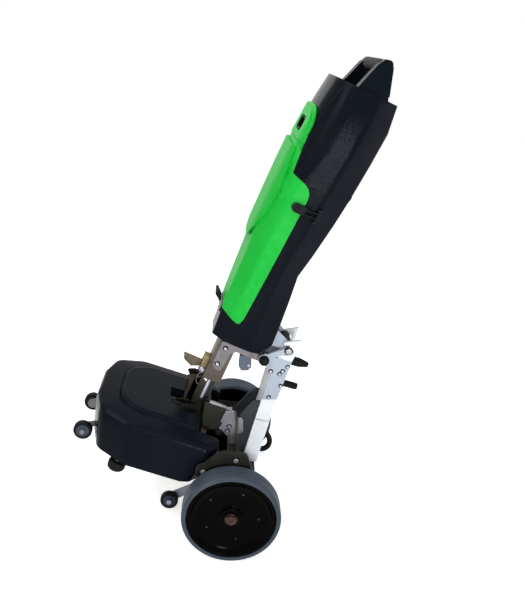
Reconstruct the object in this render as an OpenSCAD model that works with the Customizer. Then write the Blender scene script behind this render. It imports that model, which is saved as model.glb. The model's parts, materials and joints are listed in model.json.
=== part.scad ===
// Upright high speed burnisher, parked on its two large wheels and one support wheel.
// Millimetres. The origin is on the floor, below the middle of the machine's overall length.
// +X points to the rear (the operator), +Y to the machine's right, +Z up.

/* [Large wheels] */
// Diameter of a large wheel
wheel_d = 250; // [220:5:280]
// Width of the tyre
tyre_w = 58; // [46:1:66]
// Thickness of the rubber tyre band
tyre_t = 12; // [8:1:18]
// Width over both tyres
track_w = 540; // [520:5:600]
// Depth of the dish in the wheel's outer face
dish_depth = 15; // [8:1:20]
// Diameter of the axle
axle_d = 20; // [16:1:24]
// Number of ribs on the inner side of a wheel disc
wheel_ribs = 6; // [5:1:8]

/* [Small wheels] */
// Diameter of the support wheel and of the nose wheels
small_wheel_d = 50; // [40:1:60]
// Width of the support wheel and of the nose wheels
small_wheel_w = 20; // [16:1:24]
// Diameter of the pins that carry the small wheels
small_pin_d = 8; // [6:0.5:10]
// Distance of the support wheel in front of the axle
support_reach = 174; // [160:1:190]
// Diameter of a corner roller
corner_roller_d = 46; // [38:1:50]
// Height of a corner roller
corner_roller_h = 24; // [18:1:26]

/* [Mast] */
// Outside width of the mast
mast_w = 92; // [88:1:100]
// Thickness of the mast's side cheeks
cheek_t = 8; // [6:0.5:9]
// Thickness of the screwed side plates
side_plate_t = 4; // [3:0.5:6]
// Backward lean of the mast
mast_lean = 15.5; // [12:0.5:18]
// Depth of a mast leg from front to rear
leg_depth = 40; // [34:1:44]

/* [Column] */
// Backward lean of the column
column_lean = 23; // [21:0.5:25]
// Outside width of the square column
post_w = 50; // [46:1:54]
// Wall of the square column
post_wall = 3; // [2:0.5:4]
// Length of the square column
post_len = 198; // [190:2:202]
// Diameter of the sliding lift tube
lift_tube_d = 25; // [22:0.5:27]
// Diameter of the bright lift rod
lift_rod_d = 9; // [6:0.5:10]

/* [Body] */
// Backward lean of the body
body_lean = 24.6; // [23:0.2:26]
// Largest half width of the body
body_half_w = 135; // [125:1:140]
// Wall of the moulded body shells
shell_wall = 4; // [3:0.5:5]
// Gap along the seams between body pieces
seam_gap = 1.2; // [0.8:0.1:2]
// Height of the seam between lower housing and hood, along the body
seam_w = 467; // [464:1:470]
// Diameter of the handle grip
grip_d = 30; // [26:1:32]

/* [Deck] */
// Front up tilt of the deck
deck_tilt = 19.5; // [17:0.5:21]
// Clearance between the deck and the chassis plates
deck_side_gap = 7; // [5:0.5:14]
// How far the deck's foot reaches past the floor pad at the front and at the rear
deck_overhang = 8; // [6:1:14]
// Height of the deck cover's shoulder
deck_h = 116; // [112:1:120]
// How far the deck's front and rear walls lean out at the shoulder
deck_flare = 28; // [20:1:32]
// Distance from the deck's side to the floor pad's edge
pad_margin = 48; // [46:1:60]
// Thickness of the floor pad
pad_t = 18; // [14:1:20]
// Diameter of the drive motor
motor_d = 150; // [120:2:170]

/* [Hidden] */

// Finishes
black_plastic = "#23272c";
dark_rubber = "#1b1d20";
tyre_grey = "#4a535f";
frame_white = "#d9dde4";
steel = "#8d8a88";
dark_steel = "#3c3f42";
zinc_yellow = "#9a8a63";
case_green = "#2fd048";

// Clearances
run_gap = 0.05;
seat_gap = 0.3;
side_gap = 1;
eps = 0.5;

// Places shared by several pieces, in the side plane (X, Z)
axle_z = wheel_d / 2;
wheel_in_y = track_w / 2 - tyre_w;
pivot_p = [86, 460];
post_foot = [-54, 388];
body_foot = [20, 490];
mast_foot_z = 150;
mast_foot_x = 28;
mast_top_z = 441;
hook_bolt = [149, 486];
hook_bolt_d = 12;
bracket_t = 4;
bracket_in_y = post_w / 2;
cheek_in_y = mast_w / 2 - cheek_t;
chassis_in_y = wheel_in_y - 15;
chassis_t = 6;
deck_half_w = chassis_in_y - deck_side_gap;
pad_d = 2 * (deck_half_w - pad_margin);
deck_front = pad_d / 2 + deck_overhang;
deck_rear = pad_d / 2 + deck_overhang;

// Places in the column's own frame: x is to the rear, z is along the column
tube_p = [7, 6];
rod_p = [-3, -14.5];
deck_hinge_s = -83;
deck_hinge_d = 12;
lift_travel = 70;

// The deck's hinge in the side plane, and the deck's own origin on the pad axis
deck_hinge = post_foot + deck_hinge_s * [sin(column_lean), cos(column_lean)];
deck_hinge_x = 100;
deck_hinge_n = 134;
deck_origin = deck_hinge
    - deck_hinge_x * [cos(deck_tilt), -sin(deck_tilt)]
    - deck_hinge_n * [sin(deck_tilt), cos(deck_tilt)];

// Overall length, from the nose wheels to the hood's rear, centred on the origin
nose_p = [-deck_front - small_wheel_d / 2 - 0.5, -7];
hood_top = 704;
hood_rear = [68, hood_top];
front_x = deck_origin[0] + nose_p[0] * cos(deck_tilt) + nose_p[1] * sin(deck_tilt) - small_wheel_d / 2;
rear_x = body_foot[0] + hood_rear[0] * cos(body_lean) + hood_rear[1] * sin(body_lean);
axle_x = -(front_x + rear_x) / 2;

// Helpers
function unit(v) = v / norm(v);
function turn(d) = d > 180 ? d - 360 : (d < -180 ? d + 360 : d);
function corner(a, b, c, r, n) =
    let (u = unit(a - b), v = unit(c - b), half = acos(u * v) / 2)
    let (ctr = b + unit(u + v) * r / sin(half), t = r / tan(half))
    let (p = b + u * t - ctr, q = b + v * t - ctr)
    let (a0 = atan2(p[1], p[0]), d = turn(atan2(q[1], q[0]) - a0))
    [for (i = [0:n]) ctr + r * [cos(a0 + d * i / n), sin(a0 + d * i / n)]];
function rounded(pts, r, n = 3) =
    let (m = len(pts))
    [for (i = [0:m - 1])
        each corner(pts[(i + m - 1) % m], pts[i], pts[(i + 1) % m], is_list(r) ? r[i] : r, n)];

// A slab of a side outline between two distances across the machine
module slab(y0, y1) {
    translate([0, y1, 0]) rotate([90, 0, 0]) linear_extrude(y1 - y0) children();
}

// A round bar across the machine
module bar(p, d, y0, y1, fn = 48) {
    translate([p[0], y1, p[1]]) rotate([90, 0, 0]) cylinder(d = d, h = y1 - y0, $fn = fn);
}

// The same piece on the left and on the right
module both_sides() {
    children();
    mirror([0, 1, 0]) children();
}

// All pieces are drawn from the axle and then shifted together
module place() {
    translate([axle_x, 0, 0]) children();
}
module column_frame() {
    translate([post_foot[0], 0, post_foot[1]]) rotate([0, column_lean, 0]) children();
}
module body_frame() {
    translate([body_foot[0], 0, body_foot[1]]) rotate([0, body_lean, 0]) children();
}
module deck_frame() {
    translate([deck_origin[0], 0, deck_origin[1]]) rotate([0, deck_tilt, 0]) children();
}

// A closed skin over rings of equal point counts, given from bottom to top
module loft(rings) {
    m = len(rings[0]);
    n = len(rings);
    polyhedron(
        points = [for (ring = rings) each ring],
        faces = concat(
            [for (k = [1:m - 2]) [0, k, k + 1]],
            [for (k = [1:m - 2]) [(n - 1) * m, (n - 1) * m + k + 1, (n - 1) * m + k]],
            [for (i = [0:n - 2], k = [0:m - 1])
                each let (a = i * m + k, b = i * m + (k + 1) % m)
                [[a, a + m, b + m], [a, b + m, b]]]
        ),
        convexity = 6
    );
}

// Large wheels, revolved about the axle: r is the radius, a the depth from the outer face
rim_r = wheel_d / 2 - tyre_t;
rim_t = 9;
hub_r = 26;
hub_face = 8;
bush_r = axle_d / 2 + 3;
module wheel_turn(side) {
    mirror([0, side > 0 ? 1 : 0, 0])
    translate([0, -track_w / 2, axle_z]) rotate([-90, 0, 0])
    rotate_extrude($fn = 96) children();
}
module tyre(side) {
    round_r = 5;
    color(tyre_grey) place() wheel_turn(side) polygon(concat(
        [[rim_r, 1], [rim_r, tyre_w - 1]],
        [for (i = [0:4]) [wheel_d / 2 - round_r + round_r * sin(i * 22.5),
            tyre_w - round_r + round_r * cos(i * 22.5)]],
        [for (i = [0:4]) [wheel_d / 2 - round_r + round_r * cos(i * 22.5),
            round_r - round_r * sin(i * 22.5)]]));
}
module wheel_disc(side) {
    rim_in = rim_r - rim_t;
    web_t = 5;
    inner_face = tyre_w - 4;
    color(dark_rubber) place() {
        wheel_turn(side) polygon([
            [bush_r, hub_face], [hub_r - 12, hub_face], [hub_r - 12, hub_face + 4], [hub_r, hub_face + 4],
            [hub_r, dish_depth], [hub_r + 14, dish_depth + 2], [rim_in - 8, dish_depth - 6],
            [rim_in, 3], [rim_r, 3], [rim_r, inner_face], [rim_in, inner_face],
            [rim_in, dish_depth - 6 + web_t], [hub_r + 14, dish_depth + 2 + web_t],
            [hub_r, dish_depth + web_t], [hub_r, inner_face], [bush_r, inner_face]]);
        mirror([0, side > 0 ? 1 : 0, 0])
        for (i = [0:wheel_ribs - 1])
            translate([0, -track_w / 2 + dish_depth + web_t, axle_z])
            rotate([0, (i + 0.5) * 360 / wheel_ribs, 0])
            translate([hub_r - eps, 0, -2.5])
            cube([rim_in - hub_r + 2 * eps, inner_face - dish_depth - web_t - 8, 5]);
    }
}
module wheel_bush(side) {
    color("#b9b4a6") place() wheel_turn(side) polygon([
        [axle_d / 2 + run_gap, hub_face], [bush_r - run_gap, hub_face],
        [bush_r - run_gap, tyre_w], [axle_d / 2 + run_gap, tyre_w]]);
}
module left_tyre() tyre(-1);
module right_tyre() tyre(1);
module left_wheel_disc() wheel_disc(-1);
module right_wheel_disc() wheel_disc(1);
module left_wheel_bush() wheel_bush(-1);
module right_wheel_bush() wheel_bush(1);

module wheel_axle() {
    reach = track_w / 2 - hub_face + 3;
    color(steel) place() bar([0, axle_z], axle_d, -reach, reach);
}
module axle_nuts() {
    face = track_w / 2 - hub_face + 0.5;
    nut_d = 30;
    color("#7d6f66") place() both_sides() difference() {
        union() {
            bar([0, axle_z], nut_d, face, face + 2.5);
            bar([0, axle_z], nut_d * 0.8, face + 2.5, face + 7, 6);
        }
        bar([0, axle_z], axle_d + 2 * run_gap, face - 1, face + 2.5);
    }
}

// Chassis: two black side plates, a cross beam and the arm of the support wheel
beam_x = [16, 64];
beam_z = [108, mast_foot_z];
module chassis_plates() {
    outline = rounded([[-32, 100], [beam_x[1] + 6, 100], [beam_x[1] + 6, mast_foot_z + 8], [40, 278],
        [4, 278], [-88, 240], [-92, 212], [-52, 190]], [20, 8, 12, 16, 16, 12, 12, 30]);
    color("#1f2123") place() both_sides() difference() {
        slab(chassis_in_y, chassis_in_y + chassis_t) polygon(outline);
        bar([0, axle_z], axle_d + 2 * run_gap, chassis_in_y - 1, chassis_in_y + chassis_t + 1);
    }
}
module chassis_beam() {
    wall = 4;
    color(dark_steel) place() difference() {
        translate([beam_x[0], -chassis_in_y, beam_z[0]])
            cube([beam_x[1] - beam_x[0], 2 * chassis_in_y, beam_z[1] - beam_z[0]]);
        translate([beam_x[0] + wall, -chassis_in_y - 1, beam_z[0] + wall])
            cube([beam_x[1] - beam_x[0] - 2 * wall, 2 * chassis_in_y + 2, beam_z[1] - beam_z[0] - 2 * wall]);
    }
}
support_p = [-support_reach, small_wheel_d / 2];
support_plate_y = -34;
support_plate_t = 6;
module support_bracket() {
    plate_y0 = support_plate_y;
    wheel_y0 = plate_y0 - side_gap - small_wheel_w;
    top = [for (x = [beam_x[1] - 6, beam_x[0] - 2, -24]) [x, beam_z[0]]];
    color("#b9bcc2") place() {
        slab(plate_y0, plate_y0 + support_plate_t) union() {
            polygon(concat(top, [support_p + [4, 15], support_p + [8, -12], [-20, 84], [beam_x[1] - 6, 88]]));
            translate(support_p) circle(r = 15, $fn = 48);
        }
        bar(support_p, small_pin_d, wheel_y0 - 1, plate_y0 + eps);
        bar(support_p, small_pin_d + 7, wheel_y0 - 5, wheel_y0 - 1, 6);
    }
}
// A small wheel about the Y axis: grey hub in a dark tread, with its bore
module small_wheel(p, y0, flip = false) {
    r = small_wheel_d / 2;
    w = small_wheel_w;
    bore_r = small_pin_d / 2 + run_gap;
    translate([p[0], y0 + (flip ? w : 0), p[1]]) rotate([flip ? 90 : -90, 0, 0])
    rotate_extrude($fn = 72) polygon([
        [bore_r, 2], [r * 0.42, 2], [r * 0.42, 4], [r * 0.62, 4], [r * 0.66, 1], [r - 3, 0], [r, 3],
        [r, w - 3], [r - 3, w], [r * 0.66, w - 1], [r * 0.62, w - 4], [r * 0.42, w - 4],
        [r * 0.42, w - 1], [bore_r, w - 1]]);
}
module support_wheel() {
    color(tyre_grey) place() small_wheel(support_p, support_plate_y - side_gap - small_wheel_w);
}

// Mast: a white channel of two cheeks and a front web, with hooks at its head
function mast_front(z) = mast_foot_x + (z - mast_foot_z) * tan(mast_lean);
head_tip = [89, 478];
head_back = [158, 452];
module leg_outline() {
    polygon([
        [mast_front(mast_foot_z), mast_foot_z], [mast_front(mast_foot_z) + leg_depth, mast_foot_z],
        [mast_front(345) + leg_depth, 345], head_back, head_back + [-12, 8],
        [mast_front(mast_top_z), mast_top_z]]);
}
module hook_outline() {
    slot_r = hook_bolt_d / 2 + 8;
    difference() {
        polygon([head_back + [-36, 4], head_back, [174, 484], [182, 514], [138, 508], [138, 499],
            [122, 478]]);
        translate(hook_bolt) circle(r = slot_r, $fn = 64);
        translate(hook_bolt + [-40, -slot_r]) square([40, 2 * slot_r]);
    }
}
module mast() {
    web_t = 5;
    color(frame_white) place() {
        both_sides() slab(cheek_in_y, mast_w / 2) union() {
            leg_outline();
            hook_outline();
        }
        slab(-cheek_in_y - eps, cheek_in_y + eps) polygon([
            [mast_front(mast_foot_z), mast_foot_z], [mast_front(mast_foot_z) + web_t, mast_foot_z],
            [mast_front(mast_top_z) + web_t, mast_top_z], [mast_front(mast_top_z), mast_top_z]]);
        for (p = pedal_pivots) bar(p, pedal_pin_d, -cheek_in_y - eps, cheek_in_y + eps);
    }
}
module mast_plates() {
    ear_r = 15;
    color("#c9ced8") place() both_sides() difference() {
        slab(mast_w / 2, mast_w / 2 + side_plate_t) union() {
            polygon([[mast_front(345), 345], [mast_front(345) + leg_depth, 345], head_back, head_tip,
                pivot_p + [-ear_r + 2, 8], pivot_p + [0, -ear_r], [mast_front(430), 430]]);
            translate(pivot_p) circle(r = ear_r, $fn = 48);
            polygon([pivot_p + [6, 8], pivot_p + [2, 14], hook_bolt + [-2, 8], hook_bolt + [2, -8],
                [112, 469]]);
            translate(hook_bolt) circle(r = 10, $fn = 48);
        }
        bar(pivot_p, pivot_pin_d + 2 * run_gap, mast_w / 2 - 1, mast_w / 2 + side_plate_t + 1);
    }
}
module mast_gussets() {
    t = 5;
    color(dark_steel) place() both_sides() slab(cheek_in_y - t, cheek_in_y) polygon([
        [mast_front(mast_foot_z) - 6, mast_foot_z], [mast_front(mast_foot_z), mast_foot_z],
        [mast_front(335), 335], [mast_front(335) - 18, 335], [8, 272], [-4, 205]]);
}
screw_d = 11;
screw_h = 4;
plate_screws = [[104, 428], [127, 420], [135, 428], [148, 440], [131, 385], [100, 352]];
bracket_screws = [[-14, 484], [-36, 440]];
chassis_screws = [[-70, 226], [12, 258]];
module frame_screws() {
    color(steel) place() both_sides() {
        for (p = plate_screws)
            bar(p, screw_d, mast_w / 2 + side_plate_t, mast_w / 2 + side_plate_t + screw_h, 24);
        for (p = bracket_screws)
            bar(p, screw_d, bracket_in_y + bracket_t, bracket_in_y + bracket_t + screw_h, 24);
        for (p = chassis_screws)
            bar(p, screw_d + 3, chassis_in_y + chassis_t, chassis_in_y + chassis_t + screw_h, 6);
        bar(hook_bolt, hook_bolt_d, mast_w / 2 + side_plate_t, mast_w / 2 + side_plate_t + screw_h, 24);
    }
}
// Grey link channel beside the column, from the cross beam up to the deck's rear
module link_channel() {
    y0 = -64;
    color(steel) place() {
        slab(y0, y0 + 4) polygon([[-14, 332], [12, 332], [20, 262], [30, 200], [40, beam_z[1]],
            [20, beam_z[1]], [6, 200], [-22, 252], [-26, 276]]);
        slab(y0 - 8, y0) polygon([[10, 332], [14, 332], [22, 262], [32, 200], [42, beam_z[1]],
            [38, beam_z[1]], [28, 200], [18, 262]]);
        bar([-4, 264], 16, y0 - 6, y0, 6);
    }
}
// Black bent rod behind the mast's foot
module tie_loop() {
    rod = 12;
    bend_r = 20;
    top = [mast_front(236) + leg_depth, 236];
    low = [mast_front(160) + leg_depth, 160];
    mid = [low[0] + 22, low[1] + bend_r];
    color(dark_rubber) place() {
        hull() {
            translate([top[0] - 4, 0, top[1]]) sphere(d = rod, $fn = 16);
            translate([mid[0] + bend_r - 4, 0, mid[1] + 14]) sphere(d = rod, $fn = 16);
        }
        for (i = [0:3]) hull() for (k = [i, i + 1])
            translate([mid[0] - 4, 0, mid[1] + 2 * k] + bend_r * [cos(k * 30 - 120), 0, sin(k * 30 - 120)])
            sphere(d = rod, $fn = 16);
        hull() {
            translate([mid[0] - 4 - bend_r / 2, 0, low[1] + 2.7]) sphere(d = rod, $fn = 16);
            translate([low[0] - 6, 0, low[1] + 6]) sphere(d = rod, $fn = 16);
        }
        translate([top[0] - 12, -cheek_in_y, top[1] - 5]) cube([8, 2 * cheek_in_y, 10]);
        translate([low[0] - 14, -cheek_in_y, low[1] + 1]) cube([8, 2 * cheek_in_y, 10]);
    }
}

// Column: square tube, its side brackets and the pivot at the mast's head
module column_post() {
    inner = post_w - 2 * post_wall;
    color("#6f675f") place() column_frame() difference() {
        translate([-post_w / 2, -post_w / 2, 0]) cube([post_w, post_w, post_len]);
        translate([-inner / 2, -inner / 2, -1]) cube([inner, inner, post_len + 2]);
    }
}
module guide_bush() {
    inner = post_w - 2 * post_wall - 2 * run_gap;
    bush_h = 40;
    color(dark_rubber) place() column_frame() difference() {
        translate([-inner / 2, -inner / 2, 2]) cube([inner, inner, bush_h]);
        translate([tube_p[0], tube_p[1], 0])
            cylinder(d = lift_tube_d + 2 * run_gap, h = bush_h + 4, $fn = 64);
        translate([rod_p[0], rod_p[1], 0]) cylinder(d = lift_rod_d + 2 * run_gap, h = bush_h + 4, $fn = 48);
    }
}
pivot_pin_d = 14;
module column_brackets() {
    arm_r = 17;
    color("#96918f") place() both_sides() difference() {
        slab(bracket_in_y, bracket_in_y + bracket_t) union() {
            polygon([[-8, 507], [-24, 502], [-50, 438], [-42, 424], [-28, 418], [-2, 468], [14, 473],
                pivot_p + [-9, -arm_r + 2], pivot_p + [0, arm_r]]);
            translate(pivot_p) circle(r = arm_r, $fn = 48);
        }
        bar(pivot_p, pivot_pin_d + 2 * run_gap, bracket_in_y - 1, bracket_in_y + bracket_t + 1);
    }
}
cap_d = 27;
module pivot_pin() {
    reach = mast_w / 2 + side_plate_t + 6;
    color(steel) place() bar(pivot_p, pivot_pin_d, -reach, reach);
}
module pivot_caps() {
    face = mast_w / 2 + side_plate_t;
    depth = 16;
    color(dark_rubber) place() both_sides()
    translate([pivot_p[0], face, pivot_p[1]]) rotate([-90, 0, 0]) rotate_extrude($fn = 48)
    polygon(concat(
        [[pivot_pin_d / 2 + run_gap, 0], [cap_d / 2, 0], [cap_d / 2, 5]],
        [for (i = [1:5]) [cap_d / 2 * cos(i * 18), 5 + (depth - 5) * sin(i * 18)]],
        [[0, 7], [pivot_pin_d / 2 + run_gap, 7]]));
}
module tilt_switch() {
    color("#55606f") place() {
        translate([24, -bracket_in_y, 430]) cube([30, 20, 32]);
        bar([46, 436], 8, -bracket_in_y - 6, -bracket_in_y, 24);
    }
}
lever_p = [-30, 28];
lever_pin_d = 8;
module lever_block() {
    color(zinc_yellow) place() column_frame() {
        difference() {
            translate([-post_w / 2 - 16, -14, lever_p[1] - 13]) cube([16, 28, 43]);
            translate([-post_w / 2 - 20, -6, lever_p[1] - 15]) cube([18, 12, 36]);
        }
        translate([lever_p[0] - 6, 15, lever_p[1]]) rotate([90, 0, 0])
            cylinder(d = lever_pin_d, h = 30, $fn = 32);
        translate([-post_w / 2 - 9, 0, lever_p[1] - 17]) sphere(d = 17, $fn = 32);
    }
}
module lift_lever() {
    t = 8;
    pin = [lever_p[0] - 6, lever_p[1]];
    color(zinc_yellow) place() column_frame() difference() {
        slab(-t / 2, t / 2) union() {
            translate(pin) circle(r = 8, $fn = 32);
            polygon([pin + [1, 7.5], pin + [-6, 10], pin + [-58, 12], pin + [-51, -6], pin + [-27, -18],
                pin + [-2, -7.5]]);
        }
        bar(pin, lever_pin_d + 2 * run_gap, -t, t, 32);
    }
}

// Lift slide: tube and bright rod in the column, with a clevis for the deck's hinge
clevis_w = 38;
module lift_tube() {
    color(dark_rubber) place() column_frame() translate([tube_p[0], tube_p[1], deck_hinge_s + 22])
        cylinder(d = lift_tube_d, h = lift_travel + 150, $fn = 64);
}
module lift_rod() {
    color("#d5dbe0") place() column_frame() translate([rod_p[0], rod_p[1], deck_hinge_s + 22])
        cylinder(d = lift_rod_d, h = lift_travel + 130, $fn = 48);
}
module lift_clevis() {
    color(dark_steel) place() column_frame() difference() {
        union() {
            translate([-post_w / 2, -clevis_w / 2, deck_hinge_s]) cube([post_w, clevis_w, 22]);
            translate([0, clevis_w / 2, deck_hinge_s]) rotate([90, 0, 0])
                cylinder(r = 14, h = clevis_w, $fn = 64);
        }
        translate([0, clevis_w, deck_hinge_s]) rotate([90, 0, 0])
            cylinder(d = deck_hinge_d + 2 * run_gap, h = 2 * clevis_w, $fn = 48);
    }
}
module lift_guide() {
    t = 4;
    top = 1;
    color("#6f675f") place() column_frame() {
        translate([-post_w / 2 - side_gap - t, -clevis_w / 2, deck_hinge_s])
            cube([t, clevis_w, top - deck_hinge_s]);
        for (y = [-clevis_w / 2, clevis_w / 2 - t])
            translate([-post_w / 2 - side_gap - 16, y, deck_hinge_s + 4])
            cube([16, t, top - deck_hinge_s - 12]);
        translate([-post_w / 2 - side_gap - eps, -clevis_w / 2, deck_hinge_s + 1])
            cube([side_gap + eps, clevis_w, 18]);
    }
}

// Deck cover: a moulded hood with sloped sides, a raised top panel and a notch for the column
function deck_outline(d, n) =
    let (out = deck_flare * n / deck_h, front = -deck_front - out, rear = deck_rear + out, r = 40 + d * 0.3)
    let (half = [[front + d, -62 + d / 4], [front + 22 + d * 0.8, -deck_half_w + 42 + d * 0.75],
        [front + 100 + d * 0.45, -deck_half_w + d], [rear - 30 - d * 0.7, -deck_half_w + d],
        [rear - d, -deck_half_w + 30 + d * 0.8]])
    rounded(concat(half, [for (i = [4:-1:0]) [half[i][0], -half[i][1]]]),
        [r, r, r, 12, 12, 12, 12, r, r, r], 4);
function deck_ring(d, n) = [for (p = deck_outline(d, n)) [p[0], p[1], n]];
notch_w = 126;
notch_x = 62;
rear_notch_x = 108;
rear_notch_w = 2 * (deck_half_w - 62);
tongue_x = 18;
tongue_w = 88;
module deck_cover() {
    h = deck_h;
    color(black_plastic) place() deck_frame() difference() {
        loft([deck_ring(0, 0), deck_ring(0.8, h * 0.4), deck_ring(2.5, h * 0.75), deck_ring(7, h - 10),
            deck_ring(13, h - 3), deck_ring(21, h), deck_ring(61, h + 4), deck_ring(64, h + 3),
            deck_ring(68, h + 10), deck_ring(76, h + 13)]);
        loft([deck_ring(shell_wall, -1), deck_ring(shell_wall + 2.5, h * 0.75),
            deck_ring(shell_wall + 24, h - shell_wall - 4)]);
        translate([notch_x, -notch_w / 2, -1]) cube([2 * deck_rear, notch_w, h + 40]);
        translate([rear_notch_x, -rear_notch_w / 2, -1]) cube([2 * deck_rear, rear_notch_w, h + 40]);
        translate([tongue_x, -tongue_w / 2, h - 30]) cube([deck_rear, tongue_w, 60]);
        both_sides() translate([-deck_front - deck_flare, nose_plate_y - seat_gap, -1])
            cube([deck_flare + 24, nose_plate_t + 2 * seat_gap, plate_n + 1 + seat_gap]);
        translate([deck_rear - 50, -deck_half_w - 1, 0]) rotate([0, -16, 0])
            translate([0, 0, -60]) cube([160, 2 * deck_half_w + 2, 60]);
    }
}
plate_n = 30;
plate_t = 5;
module deck_plate() {
    rim = shell_wall + 2.5 * (plate_n + plate_t) / (deck_h * 0.75) + seat_gap;
    color(steel) place() deck_frame() difference() {
        translate([0, 0, plate_n]) linear_extrude(plate_t) polygon(deck_outline(rim, plate_n));
        translate([0, 0, plate_n - 1]) cylinder(d = bearing_d + 2 * run_gap, h = plate_t + 2, $fn = 72);
        for (y = [-1, 1]) translate([corner_p[0], y * corner_p[1], plate_n - 1])
            cylinder(d = small_pin_d + 2 * run_gap, h = plate_t + 2, $fn = 32);
    }
}
ear_in_y = clevis_w / 2 + side_gap;
ear_t = 5;
module deck_brackets() {
    foot = plate_n + plate_t;
    top = foot + motor_h + seat_gap;
    heel = motor_d / 2 + 9;
    wide = ear_in_y + ear_t;
    color("#5b5348") place() deck_frame() difference() {
        union() {
            both_sides() slab(ear_in_y, wide) union() {
                polygon([[heel, foot], [deck_rear - 16, foot], [deck_hinge_x + 22, deck_hinge_n - 26],
                    [deck_hinge_x + 16, deck_hinge_n], [deck_hinge_x - 16, deck_hinge_n],
                    [tongue_x + 16, top + ear_t], [tongue_x + 8, top], [heel, top]]);
                translate([deck_hinge_x, deck_hinge_n]) circle(r = 16, $fn = 48);
            }
            translate([tongue_x + 8, -wide, top]) cube([heel - tongue_x, 2 * wide, ear_t]);
            translate([tongue_x + 26, 0, top + ear_t - eps]) cylinder(d = 16, h = 6, $fn = 6);
        }
        bar([deck_hinge_x, deck_hinge_n], deck_hinge_d + 2 * run_gap, -wide - 1, wide + 1);
    }
}
module deck_pin() {
    reach = ear_in_y + ear_t + 5;
    color(steel) place() bar(deck_hinge, deck_hinge_d, -reach, reach);
}
// Bright adjusting rod that points from the link channel's head to the column
module tie_rod() {
    y = -52;
    tail = [-4, 315];
    rod_lean = 24;
    color("#a9a6a4") place() {
        translate([tail[0], y, tail[1]]) rotate([0, rod_lean - 90, 0]) {
            cylinder(d = 11, h = 58, $fn = 32);
            translate([0, 0, 12]) cylinder(d = 15, h = 9, $fn = 6);
        }
        translate([tail[0] - 9, -60, tail[1] - 7]) cube([16, 11, 14]);
    }
}
shaft_d = 17;
motor_h = 66;
bearing_d = 62;
module drive_motor() {
    h = motor_h;
    base = plate_n + plate_t;
    color("#4b4e52") place() deck_frame() difference() {
        union() {
            translate([0, 0, base]) rotate_extrude($fn = 96) polygon([
                [0, 0], [motor_d / 2, 0], [motor_d / 2, 8], [motor_d / 2 - 6, 12], [motor_d / 2 - 6, h - 10],
                [motor_d / 2 - 14, h], [0, h]]);
            for (i = [0:23]) rotate([0, 0, i * 15]) translate([motor_d / 2 - 8, -1.5, base + 14])
                cube([6, 3, h - 28]);
        }
        translate([0, 0, base - 1]) cylinder(d = shaft_d + 2 * run_gap, h = 41, $fn = 48);
    }
}
module spindle_bearing() {
    color(steel) place() deck_frame() translate([0, 0, plate_n - 8]) rotate_extrude($fn = 72) polygon([
        [shaft_d / 2 + run_gap, 0], [bearing_d / 2 + 6, 0], [bearing_d / 2 + 6, 8], [bearing_d / 2, 8],
        [bearing_d / 2, 8 + plate_t], [shaft_d / 2 + run_gap, 8 + plate_t]]);
}
driver_n = 2;
module pad_driver() {
    disc_t = 10;
    color("#2c3034") place() deck_frame() {
        translate([0, 0, driver_n]) rotate_extrude($fn = 96) polygon([
            [0, 0], [pad_d / 2 - 8, 0], [pad_d / 2 - 4, disc_t], [44, disc_t], [30, disc_t + 8],
            [0, disc_t + 8]]);
        translate([0, 0, driver_n + disc_t]) cylinder(d = shaft_d, h = 60, $fn = 48);
        for (i = [0:11]) rotate([0, 0, i * 30]) translate([40, -2, driver_n + disc_t - eps])
            cube([pad_d / 2 - 50, 4, 5]);
    }
}
module floor_pad() {
    color("#d8d2c0") place() deck_frame() translate([0, 0, driver_n - pad_t]) difference() {
        cylinder(d = pad_d, h = pad_t, $fn = 96);
        translate([0, 0, -1]) cylinder(d = 80, h = pad_t + 2, $fn = 72);
    }
}
nose_y = 78;
nose_plate_t = 5;
nose_plate_y = nose_y - small_wheel_w / 2 - side_gap - nose_plate_t;
module nose_brackets() {
    t = nose_plate_t;
    plate_y = nose_plate_y;
    pin_y = nose_y + small_wheel_w / 2;
    color("#a7a9ac") place() deck_frame() both_sides() {
        slab(plate_y, plate_y + t) union() {
            translate(nose_p) circle(r = 13, $fn = 48);
            polygon([nose_p + [-6, 12], nose_p + [6, -12], [-deck_front + 10, 19], [-deck_front + 60, 19],
                [-deck_front + 60, plate_n], [-deck_front + 12, plate_n]]);
        }
        bar(nose_p, small_pin_d, plate_y, pin_y + 1);
        bar(nose_p, small_pin_d + 6, pin_y + 1, pin_y + 5, 6);
    }
}
module nose_wheel(side) {
    y0 = side * nose_y - small_wheel_w / 2;
    color(tyre_grey) place() deck_frame() small_wheel(nose_p, y0, side > 0);
}
module nose_wheel_left() nose_wheel(-1);
module nose_wheel_right() nose_wheel(1);
corner_p = [85 - deck_front, deck_half_w - 26];
roller_top = -8;
module corner_studs() {
    color(steel) place() deck_frame() both_sides() {
        translate([corner_p[0], corner_p[1], roller_top - corner_roller_h - 1])
            cylinder(d = small_pin_d, h = plate_n + plate_t + 5 - roller_top + corner_roller_h, $fn = 32);
        translate([corner_p[0], corner_p[1], roller_top - corner_roller_h - 5])
            cylinder(d = small_pin_d + 6, h = 4, $fn = 6);
        translate([corner_p[0], corner_p[1], roller_top + side_gap])
            cylinder(d = small_pin_d + 12, h = plate_n - roller_top - side_gap, $fn = 32);
    }
}
module corner_roller(side) {
    r = corner_roller_d / 2;
    h = corner_roller_h;
    color(dark_rubber) place() deck_frame() translate([corner_p[0], side * corner_p[1], roller_top - h])
    rotate_extrude($fn = 72) polygon([
        [small_pin_d / 2 + run_gap, 0], [r - 5, 0], [r - 1.5, 2], [r, 6], [r, h - 6], [r - 1.5, h - 2],
        [r - 5, h], [small_pin_d / 2 + run_gap, h]]);
}
module corner_roller_left() corner_roller(-1);
module corner_roller_right() corner_roller(1);

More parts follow.
